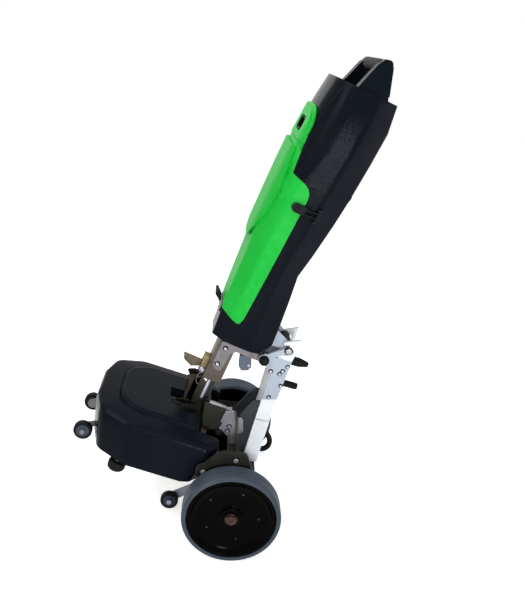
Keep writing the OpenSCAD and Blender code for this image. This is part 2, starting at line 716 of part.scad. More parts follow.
// Body rings in the body's own frame: x to the rear, z along the body.
// Each station is [height, front, rear, half width, softness of the front corners]
body_base = 12;
body_stations = [
    [body_base, -81, 79, 0.50, 0], [40, -83, 76, 0.53, 0], [110, -91, 68, 0.64, 0], [175, -94.5, 59, 0.72, 0],
    [246, -98, 47.5, 0.81, 0], [310, -104, 56, 0.88, 0.1], [400, -106.5, 65, 0.96, 0.2],
    [seam_w, -107, 70, 1.0, 0.5], [seam_w + 93, -101, 75, 1.0, 1], [hood_top - 64, -97, 78, 0.97, 1],
    [hood_rear[1], -88.5, hood_rear[0], 0.94, 1]];
front_share = 0.66;
rear_share = 0.62;
function body_ring(st, d, w) =
    let (f = st[1] + d, r = st[2] - d, h = st[3] * body_half_w - d)
    let (prow = (r - f) * 0.2, bevel = (r - f) * 0.36)
    let (in_r = 10 + st[4] * h * 0.3, out_r = 14 + st[4] * h * 0.34)
    [for (p = rounded([[f, -h * front_share], [f + prow, -h], [r - bevel, -h], [r, -h * rear_share],
        [r, h * rear_share], [r - bevel, h], [f + prow, h], [f, h * front_share]],
        [in_r, out_r, 26, 12, 12, 26, out_r, in_r], 4)) [p[0], p[1], w]];
module body_skin(d = 0) {
    loft([for (st = body_stations) body_ring(st, d, st[0])]);
}
// Side outline of the green battery box in the body's frame, grown by g
box_back = -30;
box_foot = 75;
module box_outline(g) {
    far = -150;
    foot = box_foot - min(g, seat_gap);
    polygon(concat(
        [[far, foot + 30], [-96, foot + 18], [box_back - 12, foot], [box_back - 5 + g, foot + 1],
        [box_back - 3 + g, foot + 6], [box_back + g, foot + 18]],
        corner([box_back + g, box_foot], [box_back + g, seam_w - 4 + g], [-92 + g, seam_w + 10 + g], 34, 5),
        [[-93 + g, seam_w + 12 + g], [far, seam_w + 12 + g]]));
}
// Round lip at the housing's front that the box stands on and tips about
lip_p = [-86, box_foot + 19.5];
lip_d = 10;
lip_half = 45;
module lip_outline(g) {
    translate(lip_p) circle(d = lip_d + 2 * g, $fn = 48);
    translate([lip_p[0] - lip_d / 2 - g, box_foot]) square([lip_d + 2 * g, lip_p[1] - box_foot]);
}
// Neck and carry handle of the battery box: a band of the skin let into the front of the hood
neck_proud = 6;
neck_sink = 9;
neck_low = seam_w + 2;
neck_top = hood_top - 80;
neck_mid = neck_low + (neck_top - neck_low) * 0.53;
hole_w = 96;
hole_low = neck_top - 64;
hole_h = 36;
module handle_shape(g) {
    w = body_half_w * 0.87 + g;
    polygon(rounded([[-w, neck_low - 10], [w, neck_low - 10], [w - 15, neck_mid], [w - 28, neck_top - 26],
        [w - 62, neck_top + g], [-w + 62, neck_top + g], [-w + 28, neck_top - 26], [-w + 15, neck_mid]],
        [4, 4, 40, 20, 20, 20, 20, 40], 3));
}
module neck(g, clear) {
    intersection() {
        difference() {
            body_skin(-neck_proud - clear);
            body_skin(neck_sink + g);
        }
        translate([-200, 0, 0]) rotate([90, 0, 90]) linear_extrude(160) handle_shape(g);
    }
}
module battery_box() {
    hole = rounded([[-hole_w / 2, hole_low], [hole_w / 2, hole_low], [hole_w / 2 - 6, hole_low + hole_h],
        [-hole_w / 2 + 6, hole_low + hole_h]], 12, 4);
    color(case_green) place() body_frame() difference() {
        union() {
            intersection() {
                body_skin();
                slab(-body_half_w - 1, body_half_w + 1) box_outline(0);
            }
            neck(0, 0);
        }
        translate([-200, 0, 0]) rotate([90, 0, 90]) linear_extrude(200) polygon(hole);
        slab(-lip_half - side_gap, lip_half + side_gap) lip_outline(run_gap);
    }
}
module lower_housing() {
    color(black_plastic) place() {
        latch_lugs();
        body_frame() slab(-lip_half, lip_half) lip_outline(0);
        difference() {
            body_frame() difference() {
                intersection() {
                    body_skin();
                    translate([-300, -300, 0]) cube([600, 600, seam_w]);
                }
                intersection() {
                    body_skin(shell_wall);
                    translate([box_back + 6, -300, 60]) cube([300, 600, seam_w]);
                }
                slab(-300, 300) box_outline(seam_gap);
                slab(-300, 300) polygon([[46, body_base - 1], [90, body_base - 1], [90, 46], [74, 42],
                    [50, body_base]]);
            }
            column_frame() translate([-post_w / 2 - seat_gap, -post_w / 2 - seat_gap, -10])
                cube([post_w + 2 * seat_gap, post_w + 2 * seat_gap, post_len + 10 + seat_gap]);
            for (y = [-1, 1]) slab(y > 0 ? bracket_in_y - 1 : -bracket_in_y - bracket_t - 6,
                y > 0 ? bracket_in_y + bracket_t + 6 : -bracket_in_y + 1)
                polygon([[-70, 400], [-35, 515], [60, 515], [110, 470], [80, 400]]);
        }
    }
}
strut_in_y = 90;
strut_out_y = 118;
grip_p = [-6, hood_top + 61];
hood_floor = hood_top - 24;
hood_lip = 12;
module upper_hood() {
    front_wall = -66;
    pocket = -76;
    color(black_plastic) place() body_frame() {
        difference() {
            intersection() {
                body_skin();
                translate([-300, -300, seam_w + seat_gap]) cube([600, 600, 400]);
            }
            intersection() {
                body_skin(shell_wall);
                translate([front_wall, -300, seam_w]) cube([300, 600, hood_floor - seam_w - shell_wall]);
            }
            slab(-300, 300) box_outline(seam_gap);
            neck(seam_gap, 30);
            translate([-120, -hole_w / 2, hole_low]) cube([120 + pocket, hole_w, hole_h + 8]);
            translate([-62, -strut_in_y, hood_floor])
                cube([62 + hood_rear[0] - hood_lip, 2 * strut_in_y, 60]);
            translate([-20, -34, hood_floor - shell_wall - 2]) cube([60, 68, shell_wall + 4]);
        }
        both_sides() slab(strut_in_y, strut_out_y) polygon(rounded([[-44, hood_top - 6], [36, hood_top - 6],
            [30, hood_top + 8], [8, grip_p[1] + 5], [3, grip_p[1] + 17], [-13, grip_p[1] + 14],
            [-22, grip_p[1] - 2]], [1, 1, 12, 8, 7, 8, 10]));
    }
}
module handle_grip() {
    color(dark_rubber) place() body_frame() bar(grip_p, grip_d, -strut_in_y, strut_in_y);
}
module motor_controller() {
    color("#59606a") place() body_frame() translate([-51, -60, hood_floor - shell_wall - seat_gap - 120])
        cube([48, 120, 120]);
}
panel_t = 5;
module control_panel() {
    color("#3a3f45") place() body_frame() difference() {
        translate([-20 + seat_gap, -34 + seat_gap, hood_floor - shell_wall])
            cube([60 - 2 * seat_gap, 68 - 2 * seat_gap, panel_t]);
        translate([10, 0, hood_floor - 10]) cylinder(d = button_d + 0.2, h = 20, $fn = 48);
    }
}
button_d = 22;
module start_button() {
    color("#2e9c44") place() body_frame() translate([10, 0, hood_floor - shell_wall]) rotate_extrude($fn = 48)
        polygon([[0, 0], [button_d / 2, 0], [button_d / 2, 9], [button_d / 2 - 2, 11], [0, 12]]);
}
// Rubber bump stop on a folded bracket at the housing's rear foot, caught by the hooks
stop_p = [144, 498];
stop_d = 26;
module stop_bracket() {
    y = 30;
    color("#b6c0cc") place() {
        both_sides() slab(y, y + 4) union() {
            polygon([[106.2, 494], [120.3, 538], [stop_p[0] + 2, stop_p[1] + 12], stop_p + [0, -11]]);
            translate(stop_p) circle(r = 11, $fn = 32);
        }
        bar(stop_p, 8, -y - eps, y + eps, 32);
    }
}
module stop_roller() {
    color(dark_rubber) place() difference() {
        bar(stop_p, stop_d, -29, 29);
        bar(stop_p, 8 + 2 * run_gap, -30, 30, 32);
    }
}
// Foot pedals on pins between the mast's cheeks
pedal_pivots = [[136, 444], [112, 378]];
pedal_pin_d = 10;
pedal_lean = 17;
module pedal(i, sleeve_d, sleeve_l, nose) {
    p = pedal_pivots[i];
    back = 24;
    translate([p[0], 0, p[1]]) rotate([0, pedal_lean, 0]) difference() {
        union() {
            translate([0, 8, 0]) rotate([90, 0, 0]) cylinder(r = pedal_pin_d / 2 + 5, h = 16, $fn = 48);
            rotate([0, 90, 0]) cylinder(d = 10, h = back + 4, $fn = 32);
            translate([back, 0, 0]) rotate([0, 90, 0]) rotate_extrude($fn = 48) polygon([
                [0, 0], [sleeve_d / 2, 0], [sleeve_d / 2, sleeve_l * 0.55],
                [sleeve_d / 2 - nose, sleeve_l - 2],
                [sleeve_d / 2 - nose - 2, sleeve_l], [0, sleeve_l]]);
        }
        translate([0, 20, 0]) rotate([90, 0, 0]) cylinder(d = pedal_pin_d + 2 * run_gap, h = 40, $fn = 48);
    }
}
module release_pedal() {
    color(dark_rubber) place() pedal(0, 24, 50, 5);
}
module lower_pedal() {
    color(dark_rubber) place() pedal(1, 18, 46, 0);
}
// Rubber latch straps that hold the battery box, one on each side of the body
latch_drop = 55;
latch_w = seam_w - latch_drop;
latch_x = [-58, 8];
barrel_d = 9;
latch_half = body_half_w * lookup(latch_w, [for (st = body_stations) [st[0], st[3]]]);
latch_y = latch_half + barrel_d / 2 + 0.6;
latch_pin_d = 4;
strap = 22;
module latch(side) {
    t = 4;
    color(dark_rubber) place() body_frame() mirror([0, side > 0 ? 1 : 0, 0]) difference() {
        union() {
            slab(-latch_y - t, -latch_y) difference() {
                polygon(rounded([[latch_x[0], latch_w - strap / 2], [latch_x[1], latch_w - strap / 2],
                    [latch_x[1], latch_w + strap / 2], [latch_x[0], latch_w + strap / 2]], [10, 1, 1, 10], 4));
                translate([latch_x[0] + 26, latch_w - 3]) square([24, 6]);
            }
            translate([latch_x[1], -latch_y, latch_w - strap / 2]) cylinder(d = barrel_d, h = strap, $fn = 32);
        }
        translate([latch_x[1], -latch_y, latch_w - strap])
            cylinder(d = latch_pin_d + 2 * run_gap, h = 2 * strap, $fn = 32);
    }
}
// Two lugs and a pin on the housing carry each strap
module latch_lugs() {
    lug_h = 5;
    body_frame() both_sides() {
        for (w = [latch_w - strap / 2 - 1 - lug_h, latch_w + strap / 2 + 1])
            translate([latch_x[1] - 5, -latch_y - 4, w]) cube([10, 14, lug_h]);
        translate([latch_x[1], -latch_y, latch_w - strap / 2 - 1 - eps])
            cylinder(d = latch_pin_d, h = strap + 2 + 2 * eps, $fn = 32);
    }
}
module latch_left() latch(-1);
module latch_right() latch(1);

mast();
mast_plates();
mast_gussets();
frame_screws();
chassis_beam();
chassis_plates();
wheel_axle();
axle_nuts();
support_bracket();
link_channel();
tie_loop();
column_post();
guide_bush();
column_brackets();
pivot_pin();
pivot_caps();
tilt_switch();
lever_block();
lower_housing();
upper_hood();
handle_grip();
motor_controller();
control_panel();
stop_bracket();
stop_roller();
left_tyre();
left_wheel_disc();
left_wheel_bush();
right_tyre();
right_wheel_disc();
right_wheel_bush();
support_wheel();
lift_tube();
lift_rod();
lift_clevis();
lift_guide();
deck_cover();
deck_plate();
deck_brackets();
deck_pin();
tie_rod();
drive_motor();
spindle_bearing();
nose_brackets();
corner_studs();
nose_wheel_left();
nose_wheel_right();
corner_roller_left();
corner_roller_right();
pad_driver();
floor_pad();
lift_lever();
release_pedal();
lower_pedal();
battery_box();
latch_left();
latch_right();
start_button();
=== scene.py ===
import json
import math
import bpy
from mathutils import Matrix, Vector


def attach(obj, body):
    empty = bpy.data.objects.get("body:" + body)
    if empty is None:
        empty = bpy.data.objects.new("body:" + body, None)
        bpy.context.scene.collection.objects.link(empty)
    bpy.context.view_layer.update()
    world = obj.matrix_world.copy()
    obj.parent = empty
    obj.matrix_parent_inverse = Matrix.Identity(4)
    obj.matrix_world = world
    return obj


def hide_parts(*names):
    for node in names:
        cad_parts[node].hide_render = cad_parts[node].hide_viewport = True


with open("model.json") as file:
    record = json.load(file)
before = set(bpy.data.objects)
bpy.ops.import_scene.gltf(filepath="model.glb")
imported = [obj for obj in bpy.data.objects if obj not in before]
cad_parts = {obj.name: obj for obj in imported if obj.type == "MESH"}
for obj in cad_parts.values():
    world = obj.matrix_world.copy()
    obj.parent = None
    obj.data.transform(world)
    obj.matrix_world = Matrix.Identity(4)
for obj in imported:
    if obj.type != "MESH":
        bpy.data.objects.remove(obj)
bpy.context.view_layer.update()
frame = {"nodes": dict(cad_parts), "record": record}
nodes = frame["nodes"]
slot_of = {entry["node"]: entry["material_slot"] for entry in frame["record"]["subparts"]}
node_body = {n: body for body, members in frame["record"]["behaviour"]["bodies"].items() for n in members}

# A millimetre and the axle's place, a little behind the origin, in metres
MM = 0.001
AXLE_X = 0.02165
# The machine's sizes and places are in millimetres; the camera, lamps and floor are in metres
WHEEL_R = 125
WHEEL_HALF_TRACK = 270
# Sides by the sign of y; the left one is the nearer in the photograph
HANDS = {-1: "left", 1: "right"}


def leaning(x, z, lean=0.0):
    """A frame in the machine's middle plane, for pieces that are modelled in millimetres.

    x and z are millimetres from the axle's foot, and lean is the tilt backwards in degrees."""
    turn = Matrix.Rotation(math.radians(lean), 4, "Y")
    return Matrix.Translation((AXLE_X + x * MM, 0, z * MM)) @ turn @ Matrix.Scale(MM, 4)


MACHINE = leaning(0, 0)
AXLE = leaning(0, WHEEL_R)
COLUMN = leaning(-54, 388, 23)
BODY = leaning(20, 490, 24.6)
DECK = leaning(-225.42, 218.67, 19.5)

# The body's seam and top, and its front, rear and half width at heights along it
SEAM = 467
HOOD_TOP = 704
BODY_FRONT = [(246, -98), (310, -104), (400, -106.5), (SEAM, -107), (560, -101), (640, -97),
              (HOOD_TOP, -88.5)]
BODY_REAR = [(246, 47.5), (310, 56), (400, 65), (SEAM, 70), (560, 75), (640, 78), (HOOD_TOP, 68)]
BODY_HALF = [(246, 109.3), (310, 118.8), (400, 129.6), (SEAM, 135), (560, 135), (640, 131), (HOOD_TOP, 127)]


# Shader maths
class Val:
    """A socket in a material's tree; arithmetic on it adds Math nodes."""

    def __init__(self, tree, socket):
        self.tree = tree
        self.socket = socket

    def node(self, kind, settings=None, out=0, **inputs):
        """An output of a new node; its inputs are named with underscores or numbered as i0, i1 and so on."""
        n = self.tree.nodes.new(kind)
        for key, value in (settings or {}).items():
            setattr(n, key, value)
        for key, value in inputs.items():
            numbered = key[1:].isdigit()
            feed(self.tree, n.inputs[int(key[1:]) if numbered else key.replace("_", " ")], value)
        return Val(self.tree, n.outputs[out])

    def math(self, operation, other):
        return self.node("ShaderNodeMath", {"operation": operation}, i0=self, i1=other)

    def __add__(self, other):
        return self.math("ADD", other)

    __radd__ = __add__

    def __sub__(self, other):
        return self.math("SUBTRACT", other)

    def __mul__(self, other):
        return self.math("MULTIPLY", other)

    def clamp(self):
        return self.node("ShaderNodeClamp", Value=self)

    def ramp(self, lo, hi):
        """0 below lo, 1 above hi, smooth between."""
        return self.node("ShaderNodeMapRange", {"interpolation_type": "SMOOTHSTEP"},
                         i0=self, i1=lo, i2=hi, i3=0.0, i4=1.0)

    def mix(self, a, b):
        """Colour a where this is 0, b where it is 1."""
        return self.node("ShaderNodeMix", {"data_type": "RGBA"}, out=2, i0=self, i6=a, i7=b)


def feed(tree, socket, value):
    """Links a Val to an input socket, or sets a plain value there."""
    if isinstance(value, Val):
        tree.links.new(value.socket, socket)
    else:
        socket.default_value = value


def rgb(r, g, b):
    """An sRGB colour of 0 to 255 as linear RGBA."""
    lin = [c / 12.92 if c <= 0.04045 else ((c + 0.055) / 1.055) ** 2.4 for c in (r / 255, g / 255, b / 255)]
    return (*lin, 1.0)


class Finish:
    """A material under construction: object coordinates, noise helpers and the shader's sockets."""

    def __init__(self, name, **constants):
        self.material = bpy.data.materials.new(name)
        self.material.use_nodes = True
        self.tree = self.material.node_tree
        self.shader = self.tree.nodes["Principled BSDF"]
        self.set(**constants)
        coords = self.tree.nodes.new("ShaderNodeTexCoord")
        self.at = Val(self.tree, coords.outputs["Object"])
        geometry = self.tree.nodes.new("ShaderNodeNewGeometry")
        self.edge = Val(self.tree, geometry.outputs["Pointiness"])

    def noise(self, scale, detail=3.0, rough=0.5, stretch=None):
        """Noise in object coordinates, which stretch draws out where it is given."""
        at = self.at.node("ShaderNodeMapping", Vector=self.at, Scale=stretch) if stretch else self.at
        return self.at.node("ShaderNodeTexNoise", Vector=at, Scale=scale, Detail=detail, Roughness=rough)

    def cells(self, scale):
        return self.at.node("ShaderNodeTexVoronoi", {"feature": "F1"}, Vector=self.at, Scale=scale)

    def set(self, **inputs):
        """Sets or links the shader's inputs, named with underscores for spaces."""
        for key, value in inputs.items():
            feed(self.tree, self.shader.inputs[key.replace("_", " ")], value)

    def bump(self, height, depth, strength):
        """Raises the surface by the height, and gives the finished material."""
        self.set(Normal=height.node("ShaderNodeBump", Strength=strength, Distance=depth, Height=height))
        return self.material


def moulded(name, base, light, rough, grain=700, depth=0.0004, spec=0.25):
    """Moulded plastic: a leather grain, soft cloudy handling marks and paler rubbed edges."""
    f = Finish(name, Specular_IOR_Level=spec)
    cloud = f.noise(9, 4)
    hide = f.cells(grain)
    speck = f.noise(grain * 0.35, 3)
    rubbed = f.edge.ramp(0.52, 0.60) * f.noise(60, 4).ramp(0.35, 0.65)
    tone = (cloud.ramp(0.35, 0.7) * 0.35 + rubbed * 0.55).clamp()
    f.set(Base_Color=tone.mix(base, light), Roughness=rough + cloud * 0.1 + speck * 0.08)
    return f.bump(hide * 0.6 + speck * 0.7, depth, 0.6)


def painted(name, base, worn, rough, spec=0.4):
    """Powder coat: faint orange peel, slight soiling and worn edges."""
    f = Finish(name, Specular_IOR_Level=spec)
    soil = f.noise(14, 5)
    chips = f.edge.ramp(0.54, 0.62) * f.noise(90, 4).ramp(0.45, 0.6)
    scuffs = f.noise(30, 6, 0.7, (1, 1, 6)).ramp(0.6, 0.72)
    tone = (soil.ramp(0.5, 0.8) * 0.3 + chips * 0.6 + scuffs * 0.3).clamp()
    f.set(Base_Color=tone.mix(base, worn), Roughness=rough + soil * 0.15)
    return f.bump(f.noise(240, 2), 0.0003, 0.35)


def brushed(name, base, dark, rough, metallic=1.0):
    """Brushed or plated metal: fine lines, stains and handling marks."""
    f = Finish(name, Metallic=metallic, Specular_IOR_Level=0.4)
    lines = f.noise(40, 4, 0.7, (60, 60, 4))
    stain = f.noise(22, 6, 0.6)
    worn = f.edge.ramp(0.53, 0.6) * 0.4
    tone = (stain.ramp(0.4, 0.7) * 0.75 + lines * 0.35 - worn).clamp()
    f.set(Base_Color=tone.mix(base, dark), Roughness=rough + lines * 0.16 + stain * 0.12)
    return f.bump(lines, 0.0002, 0.3)


def rubber(name, base, dust, rough, spec=0.25):
    """Rubber with a fine tooth and dust that settles in patches."""
    f = Finish(name, Specular_IOR_Level=spec)
    patch = f.noise(16, 5)
    tone = (patch.ramp(0.42, 0.72) * 0.7 + f.noise(160, 4).ramp(0.55, 0.7) * 0.3).clamp()
    f.set(Base_Color=tone.mix(base, dust), Roughness=rough + patch * 0.12)
    return f.bump(f.noise(900, 2), 0.0003, 0.5)


def pad_fibre(name):
    """Open, matted polishing fibre."""
    f = Finish(name, Specular_IOR_Level=0.1, Roughness=0.95)
    strands = f.noise(420, 6, 0.75)
    clumps = f.noise(60, 3)
    f.set(Base_Color=(strands * 0.7 + clumps * 0.5).clamp().mix(rgb(150, 140, 112), rgb(228, 220, 196)))
    return f.bump(strands, 0.003, 0.9)


# One finish for each material slot
MAT = {
    "case_black": moulded("case_black", rgb(13, 17, 24), rgb(22, 26, 32), 0.1, 480, 0.0006, 0.03),
    "case_green": moulded("case_green", rgb(20, 172, 53), rgb(32, 183, 65), 0.36, 600, 0.0002, 0.12),
    "wheel_black": moulded("wheel_black", rgb(2, 2, 2), rgb(5, 5, 6), 0.1, 260, 0.00005, 0.02),
    "white_paint": painted("white_paint", rgb(234, 237, 241), rgb(198, 198, 196), 0.36),
    "plate_grey": painted("plate_grey", rgb(170, 178, 192), rgb(126, 126, 130), 0.36),
    "dark_paint": painted("dark_paint", rgb(56, 60, 64), rgb(76, 78, 78), 0.45, 0.15),
    "steel": brushed("steel", rgb(140, 138, 142), rgb(98, 94, 92), 0.3),
    "chrome": brushed("chrome", rgb(226, 229, 234), rgb(176, 178, 182), 0.06),
    "zinc": brushed("zinc", rgb(136, 125, 92), rgb(90, 80, 56), 0.36),
    "rubber_black": rubber("rubber_black", rgb(9, 9, 11), rgb(20, 20, 22), 0.5, 0.12),
    "tyre_grey": rubber("tyre_grey", rgb(50, 58, 68), rgb(66, 73, 82), 0.5, 0.2),
    "motor_cast": painted("motor_cast", rgb(86, 95, 110), rgb(116, 120, 126), 0.45),
    "bush_plastic": moulded("bush_plastic", rgb(196, 190, 176), rgb(180, 172, 156), 0.5),
    "button_green": moulded("button_green", rgb(44, 150, 62), rgb(60, 165, 78), 0.3),
    "pad_fibre": pad_fibre("pad_fibre"),
}
# Finishes that single pieces have of their slot's kind
OWN = {
    "column_post": brushed("post_steel", rgb(88, 82, 74), rgb(56, 50, 43), 0.3),
    "column_brackets": brushed("bracket_steel", rgb(116, 111, 114), rgb(82, 77, 77), 0.3),
    "lift_guide": brushed("guide_steel", rgb(66, 61, 54), rgb(38, 35, 30), 0.34),
    "lift_clevis": painted("clevis_black", rgb(22, 22, 23), rgb(48, 45, 40), 0.45, 0.2),
    # The lift rod's pale, half-metallic colour paints the chrome's bright reflection.
    "lift_rod": brushed("rod_bright_painted_reflection", rgb(226, 230, 233), rgb(190, 194, 198), 0.2, 0.45),
    "tie_rod": brushed("tie_steel", rgb(168, 166, 168), rgb(120, 116, 114), 0.3, 0.7),
    "deck_brackets": painted("bracket_brown", rgb(27, 24, 19), rgb(54, 46, 36), 0.5, 0.1),
    "nose_brackets": painted("nose_grey", rgb(120, 121, 122), rgb(92, 90, 86), 0.4),
    "deck_pin": painted("pin_black", rgb(22, 21, 20), rgb(46, 42, 37), 0.45, 0.2),
    "deck_plate": brushed("plate_brown", rgb(70, 64, 54), rgb(44, 40, 34), 0.45, 0.7),
    "chassis_plates": painted("chassis_olive", rgb(25, 25, 21), rgb(54, 52, 43), 0.42, 0.18),
    "lift_lever": brushed("lever_tan", rgb(106, 96, 80), rgb(66, 58, 45), 0.4),
    "axle_nuts": brushed("nut_brown", rgb(74, 56, 51), rgb(40, 30, 28), 0.2),
    "sheet": painted("sheet_olive", rgb(38, 38, 30), rgb(62, 59, 46), 0.4, 0.25),
    "strip": brushed("strip_olive", rgb(104, 98, 80), rgb(62, 58, 45), 0.38, 0.6),
    "link": brushed("link_steel", rgb(170, 170, 178), rgb(122, 120, 122), 0.3, 0.7),
    "screw": brushed("screw_bright", rgb(186, 187, 190), rgb(128, 128, 132), 0.2, 0.85),
    "hub": moulded("hub_grey", rgb(66, 72, 86), rgb(88, 94, 108), 0.4, 500, 0.0001, 0.2),
    "grip": moulded("grip_black", rgb(30, 30, 31), rgb(46, 46, 46), 0.6, 1100, 0.0005, 0.2),
}


# Modelling helpers
def deselect():
    """Leaves nothing selected, in object mode."""
    if bpy.context.object and bpy.context.object.mode != "OBJECT":
        bpy.ops.object.mode_set(mode="OBJECT")
    bpy.ops.object.select_all(action="DESELECT")


def only(obj):
    """Leaves obj alone selected and active, in object mode."""
    deselect()
    obj.select_set(True)
    bpy.context.view_layer.objects.active = obj


def apply_place():
    """Writes the selected piece's place, turn and scale into its points."""
    bpy.ops.object.transform_apply(location=True, rotation=True, scale=True)


def start(kind, name, **settings):
    """A fresh primitive, alone selected."""
    deselect()
    getattr(bpy.ops.mesh, f"primitive_{kind}_add")(**settings)
    piece = bpy.context.object
    piece.name = name
    apply_place()
    return piece


def apply_modifier(obj, kind, **settings):
    only(obj)
    mod = obj.modifiers.new("step", kind)
    for key, value in settings.items():
        setattr(mod, key, value)
    bpy.ops.object.modifier_apply(modifier=mod.name)


def shaded(obj, smooth):
    """Smooth shading up to an angle, with large faces kept flat."""
    only(obj)
    bpy.ops.object.shade_smooth_by_angle(angle=math.radians(smooth))
    apply_modifier(obj, "WEIGHTED_NORMAL", keep_sharp=True, weight=100)


def cut(obj, place, points, normal):
    """Cuts a whole mesh with planes through points of a frame, all with one normal, and keeps both sides."""
    only(obj)
    facing = (place.to_3x3() @ Vector(normal)).normalized()
    bpy.ops.object.mode_set(mode="EDIT")
    for point in points:
        bpy.ops.mesh.select_all(action="SELECT")
        bpy.ops.mesh.bisect(plane_co=place @ Vector(point), plane_no=facing)
    bpy.ops.object.mode_set(mode="OBJECT")


def edit_faces(obj, chosen):
    """Opens obj in edit mode with only the faces selected that chosen picks."""
    only(obj)
    bpy.ops.object.mode_set(mode="EDIT")
    bpy.ops.mesh.select_all(action="DESELECT")
    bpy.ops.object.mode_set(mode="OBJECT")
    for face in obj.data.polygons:
        face.select = chosen(face)
    bpy.ops.object.mode_set(mode="EDIT")


def closed(obj):
    """Merges doubled points and turns all faces outwards."""
    only(obj)
    bpy.ops.object.mode_set(mode="EDIT")
    bpy.ops.mesh.select_all(action="SELECT")
    bpy.ops.mesh.remove_doubles(threshold=0.004)
    bpy.ops.mesh.normals_make_consistent(inside=False)
    bpy.ops.object.mode_set(mode="OBJECT")
    return obj


def traced(name, points):
    """A chain of edges: one vertex, extruded from point to point. Left in edit mode, all selected."""
    piece = start("plane", name, size=1)
    bpy.ops.object.mode_set(mode="EDIT")
    bpy.ops.mesh.merge(type="CENTER")
    bpy.ops.transform.translate(value=points[0])
    for here, there in zip(points, points[1:]):
        bpy.ops.mesh.extrude_region_move(TRANSFORM_OT_translate={"value": Vector(there) - Vector(here)})
    bpy.ops.mesh.select_all(action="SELECT")
    return piece


def turned(name, profile, at=(0, 0, 0), axis="Y", steps=64, flip=False):
    """A piece from the lathe: profile points are (radius, place on the axis); flip turns it end for end."""
    spots = []
    for r, a in profile:
        a = -a if flip else a
        spots.append({"X": (a, r, 0), "Y": (r, a, 0), "Z": (r, 0, a)}[axis])
    piece = traced(name, spots)
    bpy.ops.mesh.spin(steps=steps, angle=math.tau, center=(0, 0, 0), axis=[axis == c for c in "XYZ"])
    closed(piece)
    piece.location = at
    apply_place()
    return piece


def hexagon(name, radius, depth, y):
    """A six-sided block around the Y axis, with its middle at y."""
    return start("cylinder", name, vertices=6, radius=radius, depth=depth, location=(0, y, 0),
                 rotation=(math.pi / 2, 0, 0))


def plate(name, outline, depth):
    """A flat face inside the outline, extruded by the vector depth."""
    piece = traced(name, outline)
    bpy.ops.mesh.edge_face_add()
    bpy.ops.mesh.extrude_region_move(TRANSFORM_OT_translate={"value": depth})
    return closed(piece)


def side_plate(name, outline, y0, y1):
    """A sheet that stands along the machine, from y0 to y1, with a side outline of (x, z) points."""
    return plate(name, [(x, y0, z) for x, z in outline], (0, y1 - y0, 0))


def curve_through(points, steps=6):
    """Points on a smooth curve through the given points."""
    ends = [2 * Vector(points[0]) - Vector(points[1]), 2 * Vector(points[-1]) - Vector(points[-2])]
    p = [ends[0], *map(Vector, points), ends[1]]
    curve = []
    for a, b, c, d in zip(p, p[1:], p[2:], p[3:]):
        for i in range(steps):
            t = i / steps
            curve.append(0.5 * (2 * b + (c - a) * t + (2 * a - 5 * b + 4 * c - d) * t * t
                                + (3 * b - a - 3 * c + d) * t ** 3))
    return curve + [p[-2]]


def rounded_corners(points, radius, steps=6):
    """An open path with an arc of the radius at each inner corner."""
    path = [Vector(points[0])]
    for a, b, c in zip(points, points[1:], points[2:]):
        b = Vector(b)
        u, v = (Vector(a) - b).normalized(), (Vector(c) - b).normalized()
        half = u.angle(v) / 2
        centre = b + (u + v).normalized() * radius / math.sin(half)
        first, last = b + u * radius / math.tan(half) - centre, b + v * radius / math.tan(half) - centre
        path += [centre + first.lerp(last, i / steps).normalized() * radius for i in range(steps + 1)]
    return path + [Vector(points[-1])]


def bead(name, points, radius, rounds=4):
    """A round bar along the points."""
    only(traced(name, points))
    bpy.ops.object.convert(target="CURVE")
    bar = bpy.context.object.data
    bar.bevel_depth = radius
    bar.bevel_resolution = rounds
    bar.use_fill_caps = True
    bpy.ops.object.convert(target="MESH")
    return closed(bpy.context.object)


def along(table, w):
    """The table's value at height w, straight between its points."""
    for (w0, a), (w1, b) in zip(table, table[1:]):
        if w <= w1:
            return a + (b - a) * max(0.0, w - w0) / (w1 - w0)
    return table[-1][1]


def joined(name, pieces):
    """Several meshes as one piece."""
    only(pieces[0])
    for p in pieces[1:]:
        p.select_set(True)
    bpy.ops.object.join()
    pieces[0].name = name
    return pieces[0]


def copies(model, name, places):
    """The model at each place, a point and a turn about the vertical in degrees, as one piece."""
    made = []
    for point, turn in places:
        only(model)
        bpy.ops.object.duplicate()
        copy = bpy.context.object
        copy.location = point
        copy.rotation_euler = (0, 0, math.radians(turn))
        apply_place()
        made.append(copy)
    bpy.data.objects.remove(model)
    return joined(name, made)


# Nodes that a modelled or dressed piece stands for
remade = set()


def settle(piece, place, slot, body, stands_for=(), edge=0.6, segments=2, finish=None, smooth=35):
    """Softens a modelled piece's edges, sets it into the machine, and gives it its finish and its body."""
    if edge:
        apply_modifier(piece, "BEVEL", width=edge, segments=segments, limit_method="ANGLE",
                       angle_limit=math.radians(32))
    only(piece)
    piece.matrix_world = place
    apply_place()
    shaded(piece, smooth)
    piece.data.materials.clear()
    piece.data.materials.append(OWN[finish] if finish else MAT[slot])
    if stands_for:
        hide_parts(*stands_for)
        remade.update(stands_for)
    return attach(piece, body)


def merge_all():
    """Selects all of a mesh that is open in edit mode, in metres, and merges its doubled points."""
    bpy.ops.mesh.select_all(action="SELECT")
    bpy.ops.mesh.remove_doubles(threshold=2e-6)


def bare_copy(node, name):
    """A free copy of a CAD node's mesh, without the node's tags."""
    only(nodes[node])
    bpy.ops.object.duplicate()
    piece = bpy.context.object
    piece.name = name
    piece.parent = None
    for key in list(piece.keys()):
        del piece[key]
    return piece


